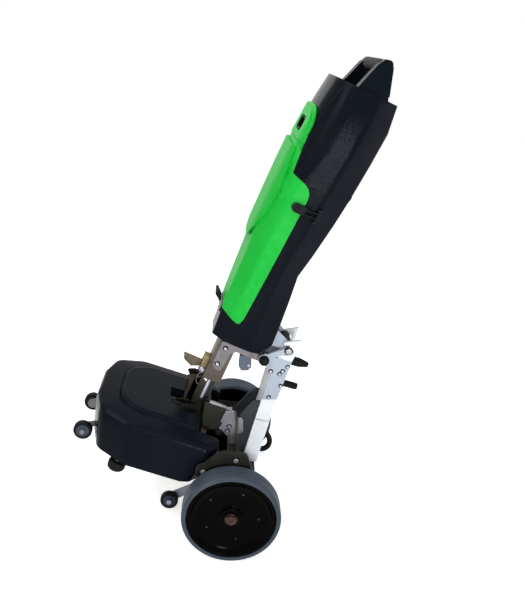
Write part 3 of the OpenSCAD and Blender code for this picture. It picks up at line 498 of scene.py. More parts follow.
def dressed(node, edge=0.8, segments=2, shape=None):
    """A merged copy of a CAD node with softened edges, in the node's place; shape works on it first."""
    piece = bare_copy(node, node + "_dressed")
    bpy.ops.object.mode_set(mode="EDIT")
    merge_all()
    bpy.ops.mesh.dissolve_limited(angle_limit=math.radians(0.6))
    bpy.ops.object.mode_set(mode="OBJECT")
    if shape:
        shape(piece)
    apply_modifier(piece, "BEVEL", width=edge * MM, segments=segments, limit_method="ANGLE",
                   angle_limit=math.radians(28), loop_slide=True)
    shaded(piece, 40)
    piece.data.materials.clear()
    piece.data.materials.append(OWN.get(node, MAT[slot_of[node]]))
    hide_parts(node)
    remade.add(node)
    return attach(piece, node_body[node])


# Large wheels: profiles as radius and depth from the outer face
TYRE_BAND = [(113, 3), (113.6, 1.4), (116, 0.4), (119, 0), (121.5, 0.9), (123.6, 3.2), (124.7, 6.5),
             (WHEEL_R, 11), (WHEEL_R, 28.2), (124.2, 28.6), (124.2, 29.4), (WHEEL_R, 29.8), (WHEEL_R, 47),
             (124.7, 51.5), (123.6, 54.8), (121.5, 57.1), (119, 58), (116, 57.6), (113, 56), (113, 3)]
WHEEL_DISH = [(13.1, 8), (17.5, 8), (19, 8.7), (19.7, 12), (25, 12.6), (27, 14), (28, 19.5), (31, 21),
              (58, 20.6), (80, 18.6), (92, 15), (99, 10), (103, 5.4), (105.5, 3.4), (109, 3), (112.9, 3.6),
              (112.9, 54), (104.5, 54), (103.5, 52), (103.5, 16), (97, 20.5), (84, 24), (58, 26), (33, 26.4),
              (28, 27), (26.5, 30), (26, 53), (24.5, 54), (13.1, 54), (13.1, 8)]
WHEEL_RIB = [(25.5, 26), (25.5, 50), (60, 40), (103.8, 47), (103.8, 20), (58, 25.5)]
RIB_COUNT = 6
RIB_THICK = 5
RIVET_DOME = [(0, 17.6), (1.8, 17.9), (2.8, 19), (3, 21), (0, 21)]
RIVET_COUNT = 5
RIVET_RING = 70
FIRST_RIVET = 64
AXLE_WASHER = [(10.2, 4.6), (15.4, 4.6), (16, 5.2), (16, 7.4), (10.2, 7.4), (10.2, 4.6)]
AXLE_STUB = [(0, 0.4), (5, 0.4), (6.6, 0.9), (8.4, 2), (8.4, 6), (0, 6)]
NUT_R = 14.2
NUT_THICK = 4.4
NUT_DEEP = 3


def wheel_ribs(side, outer):
    """Ribs behind the dish, one at a time."""
    for i in range(RIB_COUNT):
        rib = plate("rib", [(r, -side * a, -RIB_THICK / 2) for r, a in WHEEL_RIB], (0, 0, RIB_THICK))
        rib.rotation_euler = (0, math.radians(360 / RIB_COUNT * (i + 0.5)), 0)
        rib.location = outer
        apply_place()
        yield rib


def wheel_rivets(side, outer):
    """Rivets around the hub, one at a time."""
    for i in range(RIVET_COUNT):
        turn = math.radians(FIRST_RIVET + 360 / RIVET_COUNT * i)
        place = (RIVET_RING * math.cos(turn), outer[1], RIVET_RING * math.sin(turn))
        yield turned("rivet", RIVET_DOME, place, steps=16, flip=side > 0)


def large_wheel(side):
    """Grey tyre, glossy dished disc with a stepped hub, ribs behind it and rivets in front, on one side."""
    name = HANDS[side]
    body = name + "_wheel"
    outer = (0, side * WHEEL_HALF_TRACK, 0)
    inward = side > 0
    settle(turned(name + "_tyre_band", TYRE_BAND, outer, steps=96, flip=inward), AXLE, "tyre_grey", body,
           [name + "_tyre"], edge=0)
    settle(turned(name + "_wheel_dish", WHEEL_DISH, outer, steps=96, flip=inward), AXLE, "wheel_black", body,
           [name + "_wheel_disc"], edge=0.7)
    settle(joined(name + "_wheel_ribs", list(wheel_ribs(side, outer))), AXLE, "wheel_black", body, edge=1.2)
    settle(joined(name + "_wheel_rivets", list(wheel_rivets(side, outer))), AXLE, "steel", body, edge=0,
           finish="lift_guide")
    nut = hexagon("nut", NUT_R, NUT_THICK, side * (WHEEL_HALF_TRACK - NUT_DEEP))
    ring = turned("washer", AXLE_WASHER, outer, flip=inward)
    stub = turned("stub", AXLE_STUB, outer, flip=inward)
    settle(joined(name + "_axle_end", [nut, ring, stub]), AXLE, "zinc", "frame",
           ["axle_nuts"] if side < 0 else [], edge=0.7, finish="axle_nuts")


for side in HANDS:
    large_wheel(side)


# Small wheels: dark tread on a grey hub
SMALL_TREAD = [(17, 1.6), (19, 0.5), (22, 0), (24, 1.4), (25, 4.2), (25, 15.8), (24, 18.6), (22, 20),
               (19, 19.5), (17, 18.4), (17, 1.6)]
SMALL_HUB = [(4.06, 1.4), (8.2, 1.4), (9, 2), (9.5, 4.6), (14, 5), (15.4, 2.4), (17, 1.8), (17, 18.2),
             (15.4, 17.6), (14, 15), (9.5, 15.4), (9, 18), (4.06, 18.4), (4.06, 1.4)]
SUPPORT_WHEEL = (-174, -55, 25)
NOSE_WHEEL_X = -175.5
NOSE_WHEEL_Y = 88
NOSE_WHEEL_Z = -7


def small_wheel(node, place, at, flip=False):
    body = node_body[node]
    settle(turned(node + "_tread", SMALL_TREAD, at, flip=flip), place, "rubber_black", body, [node], edge=0)
    settle(turned(node + "_hub", SMALL_HUB, at, flip=flip), place, "tyre_grey", body, edge=0.4, finish="hub")


small_wheel("support_wheel", MACHINE, SUPPORT_WHEEL)
for side in HANDS:
    at = (NOSE_WHEEL_X, side * NOSE_WHEEL_Y, NOSE_WHEEL_Z)
    small_wheel("nose_wheel_" + HANDS[side], DECK, at, flip=side > 0)

# Corner rollers with a moulding groove
ROLLER = [(4.06, 0), (17, 0), (20, 0.8), (22, 3), (23, 6.5), (23, 11.2), (22.2, 11.6), (22.2, 12.4),
          (23, 12.8), (23, 17.5), (22, 21), (20, 23.2), (17, 24), (13, 24), (12.4, 22.6), (4.06, 22.6),
          (4.06, 0)]
ROLLER_X = -65
ROLLER_Y = 164
ROLLER_Z = -32
for side in HANDS:
    node = "corner_roller_" + HANDS[side]
    barrel = turned(node + "_barrel", ROLLER, (ROLLER_X, side * ROLLER_Y, ROLLER_Z), axis="Z")
    settle(barrel, DECK, "rubber_black", node_body[node], [node], edge=0)

# Screws and bolts: bright heads on dark washers that paint the shade of a recess around each head, both let
# a little into the face
WASHER_TOP = 1.2
LET_IN = 0.2


def socket_screw(head_d, head_h, socket):
    """A cap screw that points into +Y, on a washer that is seated at the origin."""
    r = head_d / 2
    top = -WASHER_TOP - head_h
    head = turned("head", [(0, top), (r - 0.8, top), (r, top + 0.8), (r, LET_IN), (0, LET_IN)], steps=24)
    key = hexagon("key", socket / 2, head_h, top)
    apply_modifier(head, "BOOLEAN", operation="DIFFERENCE", object=key, solver="EXACT")
    bpy.data.objects.remove(key)
    return head


def hex_bolt(across, head_h):
    """A hexagon head bolt that points into +Y, on a washer that is seated at the origin."""
    head = hexagon("head", across / 2, head_h, -WASHER_TOP - head_h / 2)
    crown = turned("crown", [(0, -2 - head_h), (across * 0.36, -1.8 - head_h), (across * 0.4, -0.6 - head_h),
                             (0, -0.6 - head_h)], steps=24)
    return joined("bolt", [head, crown])


def washer(outer_d):
    """A dished dark washer that is seated at y = 0; its black ring paints the shade around a screw head."""
    r = outer_d / 2
    profile = [(0, -WASHER_TOP), (r * 0.7, -WASHER_TOP), (r - 0.6, -1), (r, -0.4), (r, LET_IN), (0, LET_IN)]
    return turned("washer", profile, steps=28)


def on_face(points, y):
    """Places on one face of the machine, with the turn that lets a screw point inwards."""
    return [((x, y, z), 0 if y < 0 else 180) for x, z in points]


def both_faces(points, y):
    """The same places on the left and right faces."""
    return on_face(points, -y) + on_face(points, y)


def fastened(name, places, model, shade_washer_d, stands_for=(), edge=0.0):
    """Copies of a screw or bolt and of its dark washer, which paints the shade around the head, at all the
    places.
    """
    settle(copies(model, name, places), MACHINE, "steel", "frame", stands_for, edge=edge, finish="screw")
    settle(copies(washer(shade_washer_d), name + "_shade_washers", places), MACHINE, "rubber_black", "frame", edge=0)


MAST_FACE = 50
BRACKET_FACE = 29
CHASSIS_FACE = 203
PLATE_SCREWS = both_faces([(104, 428), (127, 420), (135, 428), (148, 440), (131, 385), (100, 352)],
                          MAST_FACE)
BRACKET_SCREWS = both_faces([(-14, 484), (-36, 440)], BRACKET_FACE)
CHASSIS_BOLTS = (on_face([(-70, 226), (12, 258)], -CHASSIS_FACE)
                 + on_face([(4, 186), (44, 170)], CHASSIS_FACE))
HOOK_BOLTS = both_faces([(149, 486)], MAST_FACE)
fastened("plate_screws", PLATE_SCREWS, socket_screw(head_d=7.6, head_h=3.4, socket=4.4), shade_washer_d=12.5,
         stands_for=["frame_screws"])
fastened("bracket_screws", BRACKET_SCREWS, socket_screw(head_d=9, head_h=4, socket=5), shade_washer_d=14.5)
fastened("chassis_bolts", CHASSIS_BOLTS, hex_bolt(across=13, head_h=5), shade_washer_d=19, edge=0.5)
fastened("hook_bolts", HOOK_BOLTS, hex_bolt(across=17, head_h=5), shade_washer_d=23, edge=0.5)

# Rubber bar behind the mast's foot, with a square anchor at each end
TIE_BEND = [(87.85, 0, 236), (98, 0, 215), (107, 0, 195), (106.1, 0, 177), (98.7, 0, 167), (88.7, 0, 162.4),
            (78, 0, 163), (64.8, 0, 166)]
TIE_BAR_R = 7.6
TIE_ANCHORS = [(87.85, 236), (64.77, 166)]
ANCHOR_LONG = 8
ANCHOR_RISE = 5
ANCHOR_HALF = 38


def tie_anchor(x, z):
    front, low, high = x - ANCHOR_LONG, z - ANCHOR_RISE, z + ANCHOR_RISE
    outline = [(front, low), (x, low), (x, high), (front, high)]
    return side_plate("anchor", outline, -ANCHOR_HALF, ANCHOR_HALF)


tie_bar = bead("bar", curve_through(TIE_BEND), TIE_BAR_R)
anchors = [tie_anchor(x, z) for x, z in TIE_ANCHORS]
settle(joined("tie_bar", [tie_bar, *anchors]), MACHINE, "rubber_black", "frame", ["tie_loop"], edge=1)

# Mast: folded sleeve over the lower legs, with a weld along its upper edge
MAST_FOOT_X = 28
MAST_FOOT_Z = 150
MAST_LEAN = 15.5
MAST_DEPTH = 40
SLEEVE_LOW = 152
SLEEVE_FRONT_TOP = 284
SLEEVE_REAR_TOP = 274
SLEEVE_PROUD = 0.6
SLEEVE_Y = (46, 47.8)
WELD_R = 1.5
WELD_STEPS = 14
WELD_Y = 46.8
WELD_WAVE = 0.5


def mast_front(z):
    """The mast's front edge at a height."""
    return MAST_FOOT_X + (z - MAST_FOOT_Z) * math.tan(math.radians(MAST_LEAN))


def mast_sleeve(side):
    name = HANDS[side]
    front = [(mast_front(z) - SLEEVE_PROUD, z) for z in (SLEEVE_LOW, SLEEVE_FRONT_TOP)]
    rear = [(mast_front(z) + MAST_DEPTH + SLEEVE_PROUD, z) for z in (SLEEVE_REAR_TOP, SLEEVE_LOW)]
    sheet = side_plate(name + "_mast_sleeve", front + rear, side * SLEEVE_Y[0], side * SLEEVE_Y[1])
    settle(sheet, MACHINE, "white_paint", "frame", edge=0.5)
    weld = []
    for i in range(WELD_STEPS + 1):
        back = i / WELD_STEPS
        z = SLEEVE_FRONT_TOP - (SLEEVE_FRONT_TOP - SLEEVE_REAR_TOP) * back + SLEEVE_PROUD
        x = mast_front(SLEEVE_FRONT_TOP) + MAST_DEPTH * back
        weld.append((x, side * (WELD_Y + WELD_WAVE * (i % 2)), z))
    settle(bead(name + "_mast_weld", weld, WELD_R, rounds=2), MACHINE, "steel", "frame", edge=0)


for side in HANDS:
    mast_sleeve(side)

# Link: folded channel with its head plate, side strip and two bolts, and the dark sheets around it
LINK_FACE = -67
LINK = [
    ("link_head", LINK_FACE, -62, "link",
     [(-14, 319), (9, 319), (14, 299), (14, 246), (-13, 246), (-24, 262), (-33, 266), (-24, 281),
      (-28, 288)]),
    ("link_web", -66, -62, "link",
     [(-3, 250), (12, 250), (13, 198), (24, 152), (16, 150), (5, 160), (-3, 198)]),
    ("link_strip", -74, -62, "strip",
     [(9, 319), (13, 319), (17, 299), (17, 250), (20, 199), (29, 150), (24, 150), (13, 199), (12, 250),
      (13, 299)]),
    ("link_lip", -70, -58, "strip",
     [(-10, 247), (-6, 247), (-6, 200), (2, 160), (-2, 160), (-10, 200)]),
    ("link_back", -58, -54, "link",
     [(19, 293), (28, 293), (32, 286), (32, 252), (27, 246), (18, 246)]),
    ("link_sheet", -60, -57.8, "sheet",
     [(-76, 300), (-68, 345), (-40, 334), (4, 316), (8, 262), (-22, 262), (-74, 258), (-78, 268)]),
]
LINK_BOLTS = on_face([(-5, 273), (-10, 259)], LINK_FACE)
LINK_STOP = [(0, 0), (5, 0), (6.5, 1.5), (7, 5), (7, 16), (5.5, 18), (0, 18)]
LINK_STOP_AT = (-42, -66, 257)
LINK_SHELF = [(-8, -197, 215), (14, -197, 215), (14, -64, 215), (-8, -64, 215)]
LINK_SHELF_THICK = 4
TIE_SLEEVE = [(5.6, 20), (6.4, 20.6), (6.8, 22), (6.8, 54), (6.2, 56), (4.6, 57.4), (0, 57.6), (0, 20),
              (5.6, 20)]
TIE_ROD = leaning(-4, 315, -66) @ Matrix.Translation((0, -52, 0))
for name, y0, y1, finish, outline in LINK:
    settle(side_plate(name, outline, y0, y1), MACHINE, "steel", "frame",
           ["link_channel"] if name == "link_head" else (), edge=0.8, finish=finish)
fastened("link_bolts", LINK_BOLTS, hex_bolt(across=11, head_h=4.4), shade_washer_d=15, edge=0.4)
settle(turned("link_stop", LINK_STOP, LINK_STOP_AT, axis="X", steps=24), MACHINE, "rubber_black", "frame",
       edge=0.4)
settle(plate("link_shelf", LINK_SHELF, (0, 0, LINK_SHELF_THICK)), MACHINE, "dark_paint", "frame", edge=0.8,
       finish="lift_clevis")
settle(turned("tie_sleeve", TIE_SLEEVE, axis="Z", steps=40), TIE_ROD, "steel", "frame", edge=0,
       finish="tie_rod")

# Bright ball and thin bail beside the column's lever block
BAIL = [(-31, -22.5, 14), (-36, -22.8, 8), (-38.5, -23, -2), (-38, -23, -12), (-34, -22.8, -20),
        (-27, -22.5, -24)]
BAIL_R = 1.1
BALL_R = 9.5
BALL_AT = (-33, -15, 17)
BALL_STEPS = 16
settle(bead("lever_bail", curve_through(BAIL, 5), BAIL_R), COLUMN, "steel", "frame", edge=0)
turns = [math.pi * i / BALL_STEPS for i in range(BALL_STEPS + 1)]
half_round = [(BALL_R * math.sin(turn), -BALL_R * math.cos(turn)) for turn in turns]
settle(turned("lever_ball", half_round, BALL_AT, steps=40), COLUMN, "steel", "frame", edge=0, finish="link")

# Deep cheeks of the folded guide
CHEEK = [(-54, -24), (-64, -13), (-60, -8), (-46, -2), (-24, -2), (-23, -5), (-13, -6), (-13, -58),
         (-23, -66), (-23, -83), (-46, -83), (-52, -60)]
CHEEK_THICK = 2.5
for name, y in (("guide_cheek_left", -19), ("guide_cheek_right", 16.5)):
    settle(side_plate(name, CHEEK, y, y + CHEEK_THICK), COLUMN, "steel", "lift_slide", edge=0.7,
           finish="lift_guide")

# Switch block under the bracket's arm, with a screw in its near face
SWITCH = [(23, 462), (20, 430), (27, 417), (45, 417), (54, 427), (54, 462)]
SWITCH_Y = (-25, -5)
SWITCH_SCREW = on_face([(47, 434)], SWITCH_Y[0])
settle(side_plate("switch_body", SWITCH, *SWITCH_Y), MACHINE, "motor_cast", "frame", ["tilt_switch"],
       edge=2.4, segments=3)
settle(copies(socket_screw(head_d=8, head_h=3, socket=4.4), "switch_screw", SWITCH_SCREW), MACHINE, "steel",
       "frame", edge=0, finish="screw")

# Handle grip between the struts
GRIP_HALF = 89.6
GRIP_RINGS = [(13.4, -GRIP_HALF), (14.4, -88), (14.4, -84), (13.6, -83.4), (13.6, -82), (14.4, -81.4),
              (14.4, -77), (13.6, -76.4), (13.6, -75), (14.6, -74), (15, -40)]
GRIP_AT = (-6, 0, HOOD_TOP + 61)
profile = [(0, -GRIP_HALF), *GRIP_RINGS, *[(r, -a) for r, a in reversed(GRIP_RINGS)], (0, GRIP_HALF)]
settle(turned("grip_sleeve", profile, GRIP_AT), BODY, "case_black", "frame", ["handle_grip"], edge=0.3,
       finish="grip")

# Struts: smooth outer faces that carry the hood's sides up to the grip
STRUT_FACE = [(-46, 692), (16, 694), (31, 713), (12, 768), (4, 780), (-13, 778), (-23, 762)]
STRUT_INNER = 116
STRUT_HALF = [(692, 129), (712, 126), (740, 122), (782, 118.5)]


def strut_face(side):
    face = side_plate("strut_face_" + HANDS[side], STRUT_FACE, side * STRUT_INNER, side * STRUT_HALF[0][1])
    for v in face.data.vertices:
        if abs(v.co.y) > STRUT_INNER + 1:
            v.co.y = side * along(STRUT_HALF, v.co.z)
    settle(face, BODY, "case_black", "frame", edge=3, segments=4)


# Hood: a lower rim that stands a little proud of the housing, and softly crowned sides
HOOD_RIM = (SEAM + 1.5, SEAM + 11)
RIM_GROWTH = (1.016, 1.013)
HOOD_CUTS = (480, 500, 520, 560, 600, 628, 640, 655, 675)
SIDE_CROWN = [(SEAM, 1), (480, 1.6), (600, 9), (660, 9), (HOOD_TOP, 6)]
SIDE_FROM_Y = 80
SIDE_MIDDLE_X = -10
SIDE_REACH = 85
FRONT_CROWN = [(545, 0), (600, 6), (HOOD_TOP, 6)]
FRONT_DEEP = 16
FRONT_FLAT = 89


def hood_rim():
    rim = bare_copy("upper_hood", "hood_rim")
    up = BODY.to_3x3() @ Vector((0, 0, 1 / MM))
    bpy.ops.object.mode_set(mode="EDIT")
    for w, direction in zip(HOOD_RIM, (-up, up)):
        merge_all()
        bpy.ops.mesh.bisect(plane_co=BODY @ Vector((0, 0, w)), plane_no=direction, use_fill=True,
                            clear_outer=True)
    bpy.ops.object.mode_set(mode="OBJECT")
    inside = BODY.inverted()
    for v in rim.data.vertices:
        x, y, w = inside @ v.co
        v.co = BODY @ Vector((x * RIM_GROWTH[0], y * RIM_GROWTH[1], w))
    settle(rim, Matrix.Identity(4), "case_black", "frame", edge=0.8 * MM, segments=3)


def crowned_sides(hood):
    """Rounds the hood's flat sides and the front above the box, so that they turn softly."""
    cut(hood, BODY, [(x, 0, 0) for x in range(-95, 75, 10)], (1, 0, 0))
    cut(hood, BODY, [(0, y, 0) for y in range(-75, 90, 15)], (0, 1, 0))
    cut(hood, BODY, [(0, 0, w) for w in HOOD_CUTS], (0, 0, 1))
    inside = BODY.inverted()
    for v in hood.data.vertices:
        x, y, w = inside @ v.co
        if abs(y) > SIDE_FROM_Y and w < HOOD_TOP + 1:
            bulge = max(0.0, 1 - ((x - SIDE_MIDDLE_X) / SIDE_REACH) ** 2)
            y += math.copysign(along(SIDE_CROWN, w) * bulge, y)
        if x < along(BODY_FRONT, w) + FRONT_DEEP:
            x += along(FRONT_CROWN, w) * min(1.0, abs(y) / FRONT_FLAT) ** 2
        v.co = BODY @ Vector((x, y, w))


for side in HANDS:
    strut_face(side)
hood_rim()
dressed("upper_hood", edge=4, segments=5, shape=crowned_sides)

# Rubber latch straps: a crowned pad, two cords and the barrel they hang on
LATCH_W = 412
LATCH_Y = 135.67
LATCH_FRONT = -58
LATCH_REAR = 8
LATCH_HALF = 11
LATCH_PAD_END = -24
LATCH_THICK = 6
LATCH_GAP = 0.4
ARC_STEPS = 12
STUD = [(0, 0), (6.6, 0), (6.2, 1.2), (5, 1.6), (4.4, 0.8), (0, 0.8)]
DRUM = [(2.06, -11), (3.8, -11), (4.6, -10), (4.6, -2), (4, -1.4), (4, 1.4), (4.6, 2), (4.6, 10), (3.8, 11),
        (2.06, 11), (2.06, -11)]
STUD_BACK = 2
STUD_SUNK = 0.2
CORD_OFFSET = 7
CORD_R = 2.5


def latch(side):
    name = "latch_" + HANDS[side]
    face = side * (LATCH_Y + LATCH_GAP)
    centre = LATCH_FRONT + LATCH_HALF
    turns = [math.pi * (0.5 - i / ARC_STEPS) for i in range(ARC_STEPS + 1)]
    round_end = [(centre - LATCH_HALF * math.cos(turn), face, LATCH_W + LATCH_HALF * math.sin(turn))
                 for turn in turns]
    outline = [(LATCH_PAD_END, face, LATCH_W + LATCH_HALF), *round_end,
               (LATCH_PAD_END, face, LATCH_W - LATCH_HALF)]
    pad = plate("pad", outline, (0, side * LATCH_THICK, 0))
    apply_modifier(pad, "BEVEL", width=2, segments=4, limit_method="ANGLE", angle_limit=math.radians(40))
    stud_at = (centre + STUD_BACK, face + side * (LATCH_THICK - STUD_SUNK), LATCH_W)
    stud = turned("stud", STUD, stud_at, steps=32, flip=side < 0)
    cords = []
    for z in (-CORD_OFFSET, CORD_OFFSET):
        route = [(LATCH_PAD_END - 3, face + side * 3, LATCH_W + z),
                 (-10, face + side * 2.6, LATCH_W + z * 0.8), (LATCH_REAR, face + side * 0.6, LATCH_W + z)]
        cords.append(bead("cord", curve_through(route), CORD_R))
    drum = turned("drum", DRUM, (LATCH_REAR, side * LATCH_Y, LATCH_W), axis="Z", steps=32)
    strap = joined(name + "_strap", [pad, stud, *cords, drum])
    settle(strap, BODY, "rubber_black", node_body[name], [name], edge=0)


for side in HANDS:
    latch(side)

# Ridges along the two steps of the deck's raised top
DECK_NOSE = -150
DECK_NOSE_SLOPE = 28 / 116
DECK_HALF = 190
DECK_NOSE_HALF = 62
DECK_CORNER_LONG = 100
DECK_CORNER_TURN = (22, 42)
DECK_CORNER_R = 40
RIDGE_REAR = 100
RIDGE_R = 1.6


def deck_ridge(name, inset, height):
    """A bead along the deck cover's outline at a height, set in from its foot."""
    front = DECK_NOSE - DECK_NOSE_SLOPE * height + inset
    side = inset - DECK_HALF
    turn_x, turn_y = DECK_CORNER_TURN
    half = [(RIDGE_REAR, side), (front + DECK_CORNER_LONG - 0.55 * inset, side),
            (front + turn_x - 0.2 * inset, side + turn_y - 0.25 * inset),
            (front, -DECK_NOSE_HALF + inset / 4)]
    outline = [(x, y, height) for x, y in half] + [(x, -y, height) for x, y in reversed(half)]
    path = rounded_corners(outline, DECK_CORNER_R + 0.3 * inset)
    settle(bead(name, path, RIDGE_R), DECK, "case_black", "deck", edge=0)


deck_ridge("deck_lower_ridge", inset=60, height=119.4)
deck_ridge("deck_upper_ridge", inset=75.5, height=128.2)

# Fibre pad under the driver
PAD_HOLE_R = 40
PAD_R = 142
PAD_FACE = -16
PAD_TOP = 2
PAD_RINGS = 16
PAD_TUFT = 1.6


def fibre_pad():
    face = [(PAD_HOLE_R + (PAD_R - PAD_HOLE_R) * i / PAD_RINGS, PAD_FACE) for i in range(1, PAD_RINGS)]
    inner = (PAD_HOLE_R, PAD_FACE + 2)
    under = [inner, (PAD_HOLE_R + 1.5, PAD_FACE), *face, (PAD_R - 2, PAD_FACE)]
    rim = [(PAD_R, -13.5), (PAD_R, -6), (PAD_R, -0.5)]
    top = [(PAD_R - 2, PAD_TOP), (90, PAD_TOP), (PAD_HOLE_R + 2, PAD_TOP), (PAD_HOLE_R, 0.5)]
    pad = turned("fibre_pad", [*under, *rim, *top, inner], axis="Z", steps=120)
    tufts = bpy.data.textures.new("tufts", "CLOUDS")
    tufts.noise_scale = 5
    apply_modifier(pad, "DISPLACE", texture=tufts, strength=-PAD_TUFT, mid_level=0.2)
    settle(pad, DECK, "pad_fibre", "pad_drive", ["floor_pad"], edge=0)


fibre_pad()

# Ribbed rubber on the pedals: place, sleeve diameter, start and number of the ribs
PEDAL_LEAN = 17
PEDAL_RIB_PITCH = 6
PEDAL_RIBS = [("release_pedal", 136, 444, 24, 27, 4), ("lower_pedal", 112, 378, 18, 30, 6)]


def pedal_rib(r, a):
    """One raised ring on a sleeve of radius r, from a along the pedal."""
    profile = [(r - 1, a), (r + 0.2, a), (r + 1, a + 0.8), (r + 1, a + 2.2), (r + 0.2, a + 3),
               (r - 1, a + 3), (r - 1, a)]
    return turned("band", profile, axis="X", steps=48)


for node, x, z, sleeve_d, first, count in PEDAL_RIBS:
    bands = [pedal_rib(sleeve_d / 2, first + PEDAL_RIB_PITCH * i) for i in range(count)]
    settle(joined(node + "_ribs", bands), leaning(x, z, PEDAL_LEAN), "rubber_black", node_body[node], edge=0)

# Battery box: raised front panel over the skin, groove and rolled rim at its handle, tab at its foot
PANEL_HALF = [(282, 4), (284, 24), (291, 42), (322, 75), (364, 94), (405, 103), (430, 106), (452, 105),
              (531, 96)]
PANEL_PROUD = [(282, 3.2), (400, 1.4), (SEAM, 1.4), (531, 5.2)]
PANEL_THICK = 6
GROOVE = (528, 532, 541, 546)
NECK_LOW = 450
NECK_DEPTH = 12
NECK_PROUD = 3
NECK_WAIST = 0.95
ROLL_HALF = [(-92, 549), (-95, 560), (-95, 580), (-91, 598), (-82, 612), (-66, 621), (-40, 624)]
ROLL_TOP = 624
ROLL_R = 5.2
POCKET = [(-104, -43, 563), (-104, 43, 563), (-103, 39, 593), (-103, -39, 593)]
POCKET_BLOCK = 12
POCKET_WALL = 3
POCKET_DEEP = 10
BOX_TAB = [(-94, 99), (-112, 116), (-116, 114), (-115, 107), (-97, 93)]
BOX_TAB_HALF = 26


def skin_front(y, w):
    """The body's front surface: a flat face that turns softly into the two slanting sides."""
    front, half = along(BODY_FRONT, w), along(BODY_HALF, w)
    flat, soft = 0.66 * half, 9.0
    slope = 0.2 * (along(BODY_REAR, w) - front) / (half - flat)
    return front + slope * soft * math.log1p(math.exp((abs(y) - flat) / soft))


def box_panel():
    low, high = PANEL_HALF[0][0], PANEL_HALF[-1][0]
    sheet = start("grid", "box_panel", x_subdivisions=36, y_subdivisions=64, size=2)
    for v in sheet.data.vertices:
        w = low + (high - low) * ((v.co.y + 1) / 2) ** 1.5
        y = v.co.x * along(PANEL_HALF, w)
        v.co = (skin_front(y, w) - along(PANEL_PROUD, w), y, w)
    apply_modifier(sheet, "SOLIDIFY", thickness=PANEL_THICK, offset=-1)
    closed(sheet)
    settle(sheet, BODY, "case_green", "battery", edge=1.8, segments=4, smooth=50)


def box_steps(box):
    """Lets the neck rise evenly out of the skin and cuts a waist and groove under the handle."""
    cut(box, BODY, [(0, 0, w) for w in GROOVE], (0, 0, 1))
    inside = BODY.inverted()
    for v in box.data.vertices:
        x, y, w = inside @ v.co
        proud = skin_front(y, w) - x
        if w < NECK_LOW or proud < -NECK_DEPTH:
            continue
        if GROOVE[0] + 1 < w < GROOVE[3] - 1:
            y *= NECK_WAIST
        if proud > NECK_PROUD:
            x += along([(NECK_LOW, proud), (500, proud), (501, 2.5), (530, 2.5), (GROOVE[1], 4.2),
                        (GROOVE[2], 4.2), (GROOVE[3], 1.5)], w)
        v.co = BODY @ Vector((x, y, w))


def handle_roll():
    """The rounded rim of the carry handle."""
    outline = ROLL_HALF + [(0, ROLL_TOP)] + [(-y, w) for y, w in reversed(ROLL_HALF)]
    path = [(skin_front(y, w) - 0.6, y, w) for y, w in outline]
    settle(bead("handle_roll", curve_through(path, 5), ROLL_R), BODY, "case_green", "battery", edge=0)


def shade_lined_pocket():
    """Black rubber lining of the finger hole, a dark sheet that paints the shade inside the hole."""
    block = plate("shade_lined_pocket", POCKET, (POCKET_BLOCK, 0, 0))
    edit_faces(block, lambda face: face.normal.x < -0.9)
    bpy.ops.mesh.inset(thickness=POCKET_WALL)
    bpy.ops.mesh.extrude_region_move(TRANSFORM_OT_translate={"value": (POCKET_DEEP, 0, 0)})
    bpy.ops.object.mode_set(mode="OBJECT")
    settle(block, BODY, "rubber_black", "battery", edge=0.5)


dressed("battery_box", edge=2.6, segments=4, shape=box_steps)
handle_roll()
# The pocket's black lining paints the shade inside the finger hole.
shade_lined_pocket()
box_panel()
settle(side_plate("box_tab", BOX_TAB, -BOX_TAB_HALF, BOX_TAB_HALF), BODY, "rubber_black", "battery",
       edge=1.4, segments=3)

# Chassis plates: the far one ends lower, so that the wheel behind it shows, and the near one has an ear
FAR_TOP = 206
FAR_SLOPE = 0.12
EAR = [(-78, 230), (-60, 255), (-38, 274), (-19, 283), (0, 279), (14, 262), (14, 236), (-40, 226)]
EAR_Y = (-202.6, -198)


def lower_far_side(plates):
    edit_faces(plates, lambda face: face.center.y > 0)
    bpy.ops.mesh.bisect(plane_co=(0, 0, FAR_TOP * MM), plane_no=(FAR_SLOPE, 0, 1), use_fill=True,
                        clear_outer=True)
    bpy.ops.object.mode_set(mode="OBJECT")


dressed("chassis_plates", shape=lower_far_side)
settle(side_plate("chassis_ear", EAR, *EAR_Y), MACHINE, slot_of["chassis_plates"], "frame", edge=0.8,
       finish="chassis_plates")

# Nodes that keep their shape get softened edges: width and segments
SOFT_EDGE = (0.7, 2)
SOFT_EDGES = {"lower_housing": (2.2, 3), "deck_cover": (2.4, 3), "mast": (0.8, 2), "pivot_caps": (1.2, 3),
              "release_pedal": (1.2, 3), "lower_pedal": (1.2, 3)}
for node in nodes:
    if node not in remade:
        dressed(node, *SOFT_EDGES.get(node, SOFT_EDGE))

# The CAD nodes that the pieces stand for get a finish too
for name, obj in nodes.items():
    obj.data.materials.clear()
    obj.data.materials.append(OWN.get(name, MAT[slot_of[name]]))

# Camera at the photograph's place. The photograph is framed to the right of the lens axis.
CAMERA_AT = (AXLE_X, -1.724, 1.253)
CAMERA_PITCH = 20.5
CAMERA_LENS = 42.6
CAMERA_SENSOR = 36
PHOTO_OFF_AXIS = 31.5
PHOTO_LONG_SIDE = 600
camera_data = bpy.data.cameras.new("view")
camera_data.sensor_width = CAMERA_SENSOR
camera_data.lens = CAMERA_LENS
camera_data.shift_x = PHOTO_OFF_AXIS / PHOTO_LONG_SIDE
camera = bpy.data.objects.new("view", camera_data)
camera.location = CAMERA_AT
camera.rotation_euler = (math.radians(90 - CAMERA_PITCH), 0, 0)
bpy.context.scene.collection.objects.link(camera)
bpy.context.scene.camera = camera

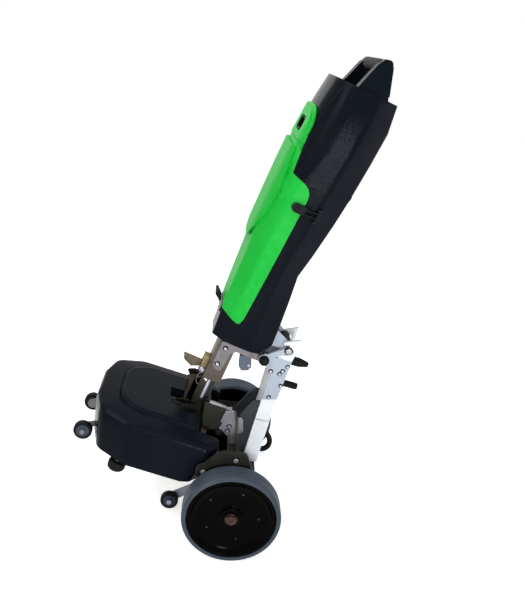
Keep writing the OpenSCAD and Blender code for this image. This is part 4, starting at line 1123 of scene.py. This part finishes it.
# Studio: soft lamps with place, target, size, watts and colour, a white surround and a pale floor
WHITE = (1, 1, 1)
LAMPS = [
    ("key", (-1.7, -1.6, 2.9), (0, 0, 0.5), 1.1, 35, WHITE),
    ("front", (0.45, -2.05, 0.62), (0.2, 0, 0.85), 0.3, 21, (0.9, 0.96, 1.0)),
    ("fill", (2.4, -1.6, 1.6), (0, 0, 0.6), 1.8, 8, WHITE),
    ("top", (0.0, 0.5, 3.2), (0, 0, 0.5), 1.4, 40, WHITE),
]
SURROUND_LIGHT = 0.4
FLOOR_GLOW = 0.6
FLOOR_SIZE = 14


def lamp(name, place, target, size, watts, colour):
    data = bpy.data.lights.new(name, "AREA")
    data.shape = "SQUARE"
    data.size = size
    data.energy = watts
    data.color = colour
    obj = bpy.data.objects.new(name, data)
    obj.location = place
    obj.rotation_euler = (Vector(target) - Vector(place)).to_track_quat("-Z", "Y").to_euler()
    bpy.context.scene.collection.objects.link(obj)


def seen(tree):
    """1 for rays from the camera, from glossy surfaces and through clear ones, otherwise 0."""
    outs = tree.nodes.new("ShaderNodeLightPath").outputs
    mirrored = Val(tree, outs["Is Glossy Ray"]).math("MAXIMUM", Val(tree, outs["Is Transmission Ray"]))
    return Val(tree, outs["Is Camera Ray"]).math("MAXIMUM", mirrored)


for settings in LAMPS:
    lamp(*settings)

world = bpy.data.worlds.new("surround")
bpy.context.scene.world = world
world.use_nodes = True
background = world.node_tree.nodes["Background"]
background.inputs["Color"].default_value = (*WHITE, 1)
strength = seen(world.node_tree) * (1 - SURROUND_LIGHT) + SURROUND_LIGHT
world.node_tree.links.new(strength.socket, background.inputs["Strength"])

floor = start("plane", "floor", size=FLOOR_SIZE)
pale = Finish("pale_floor", Roughness=0.9, Specular_IOR_Level=0.1, Emission_Strength=1.0)
pale.set(Base_Color=pale.noise(3, 3).mix(rgb(250, 250, 250), rgb(244, 244, 244)))
pale.set(Emission_Color=seen(pale.tree).mix((0, 0, 0, 1), (FLOOR_GLOW, FLOOR_GLOW, FLOOR_GLOW, 1)))
floor.data.materials.append(pale.material)

bpy.context.scene.view_settings.view_transform = "Standard"
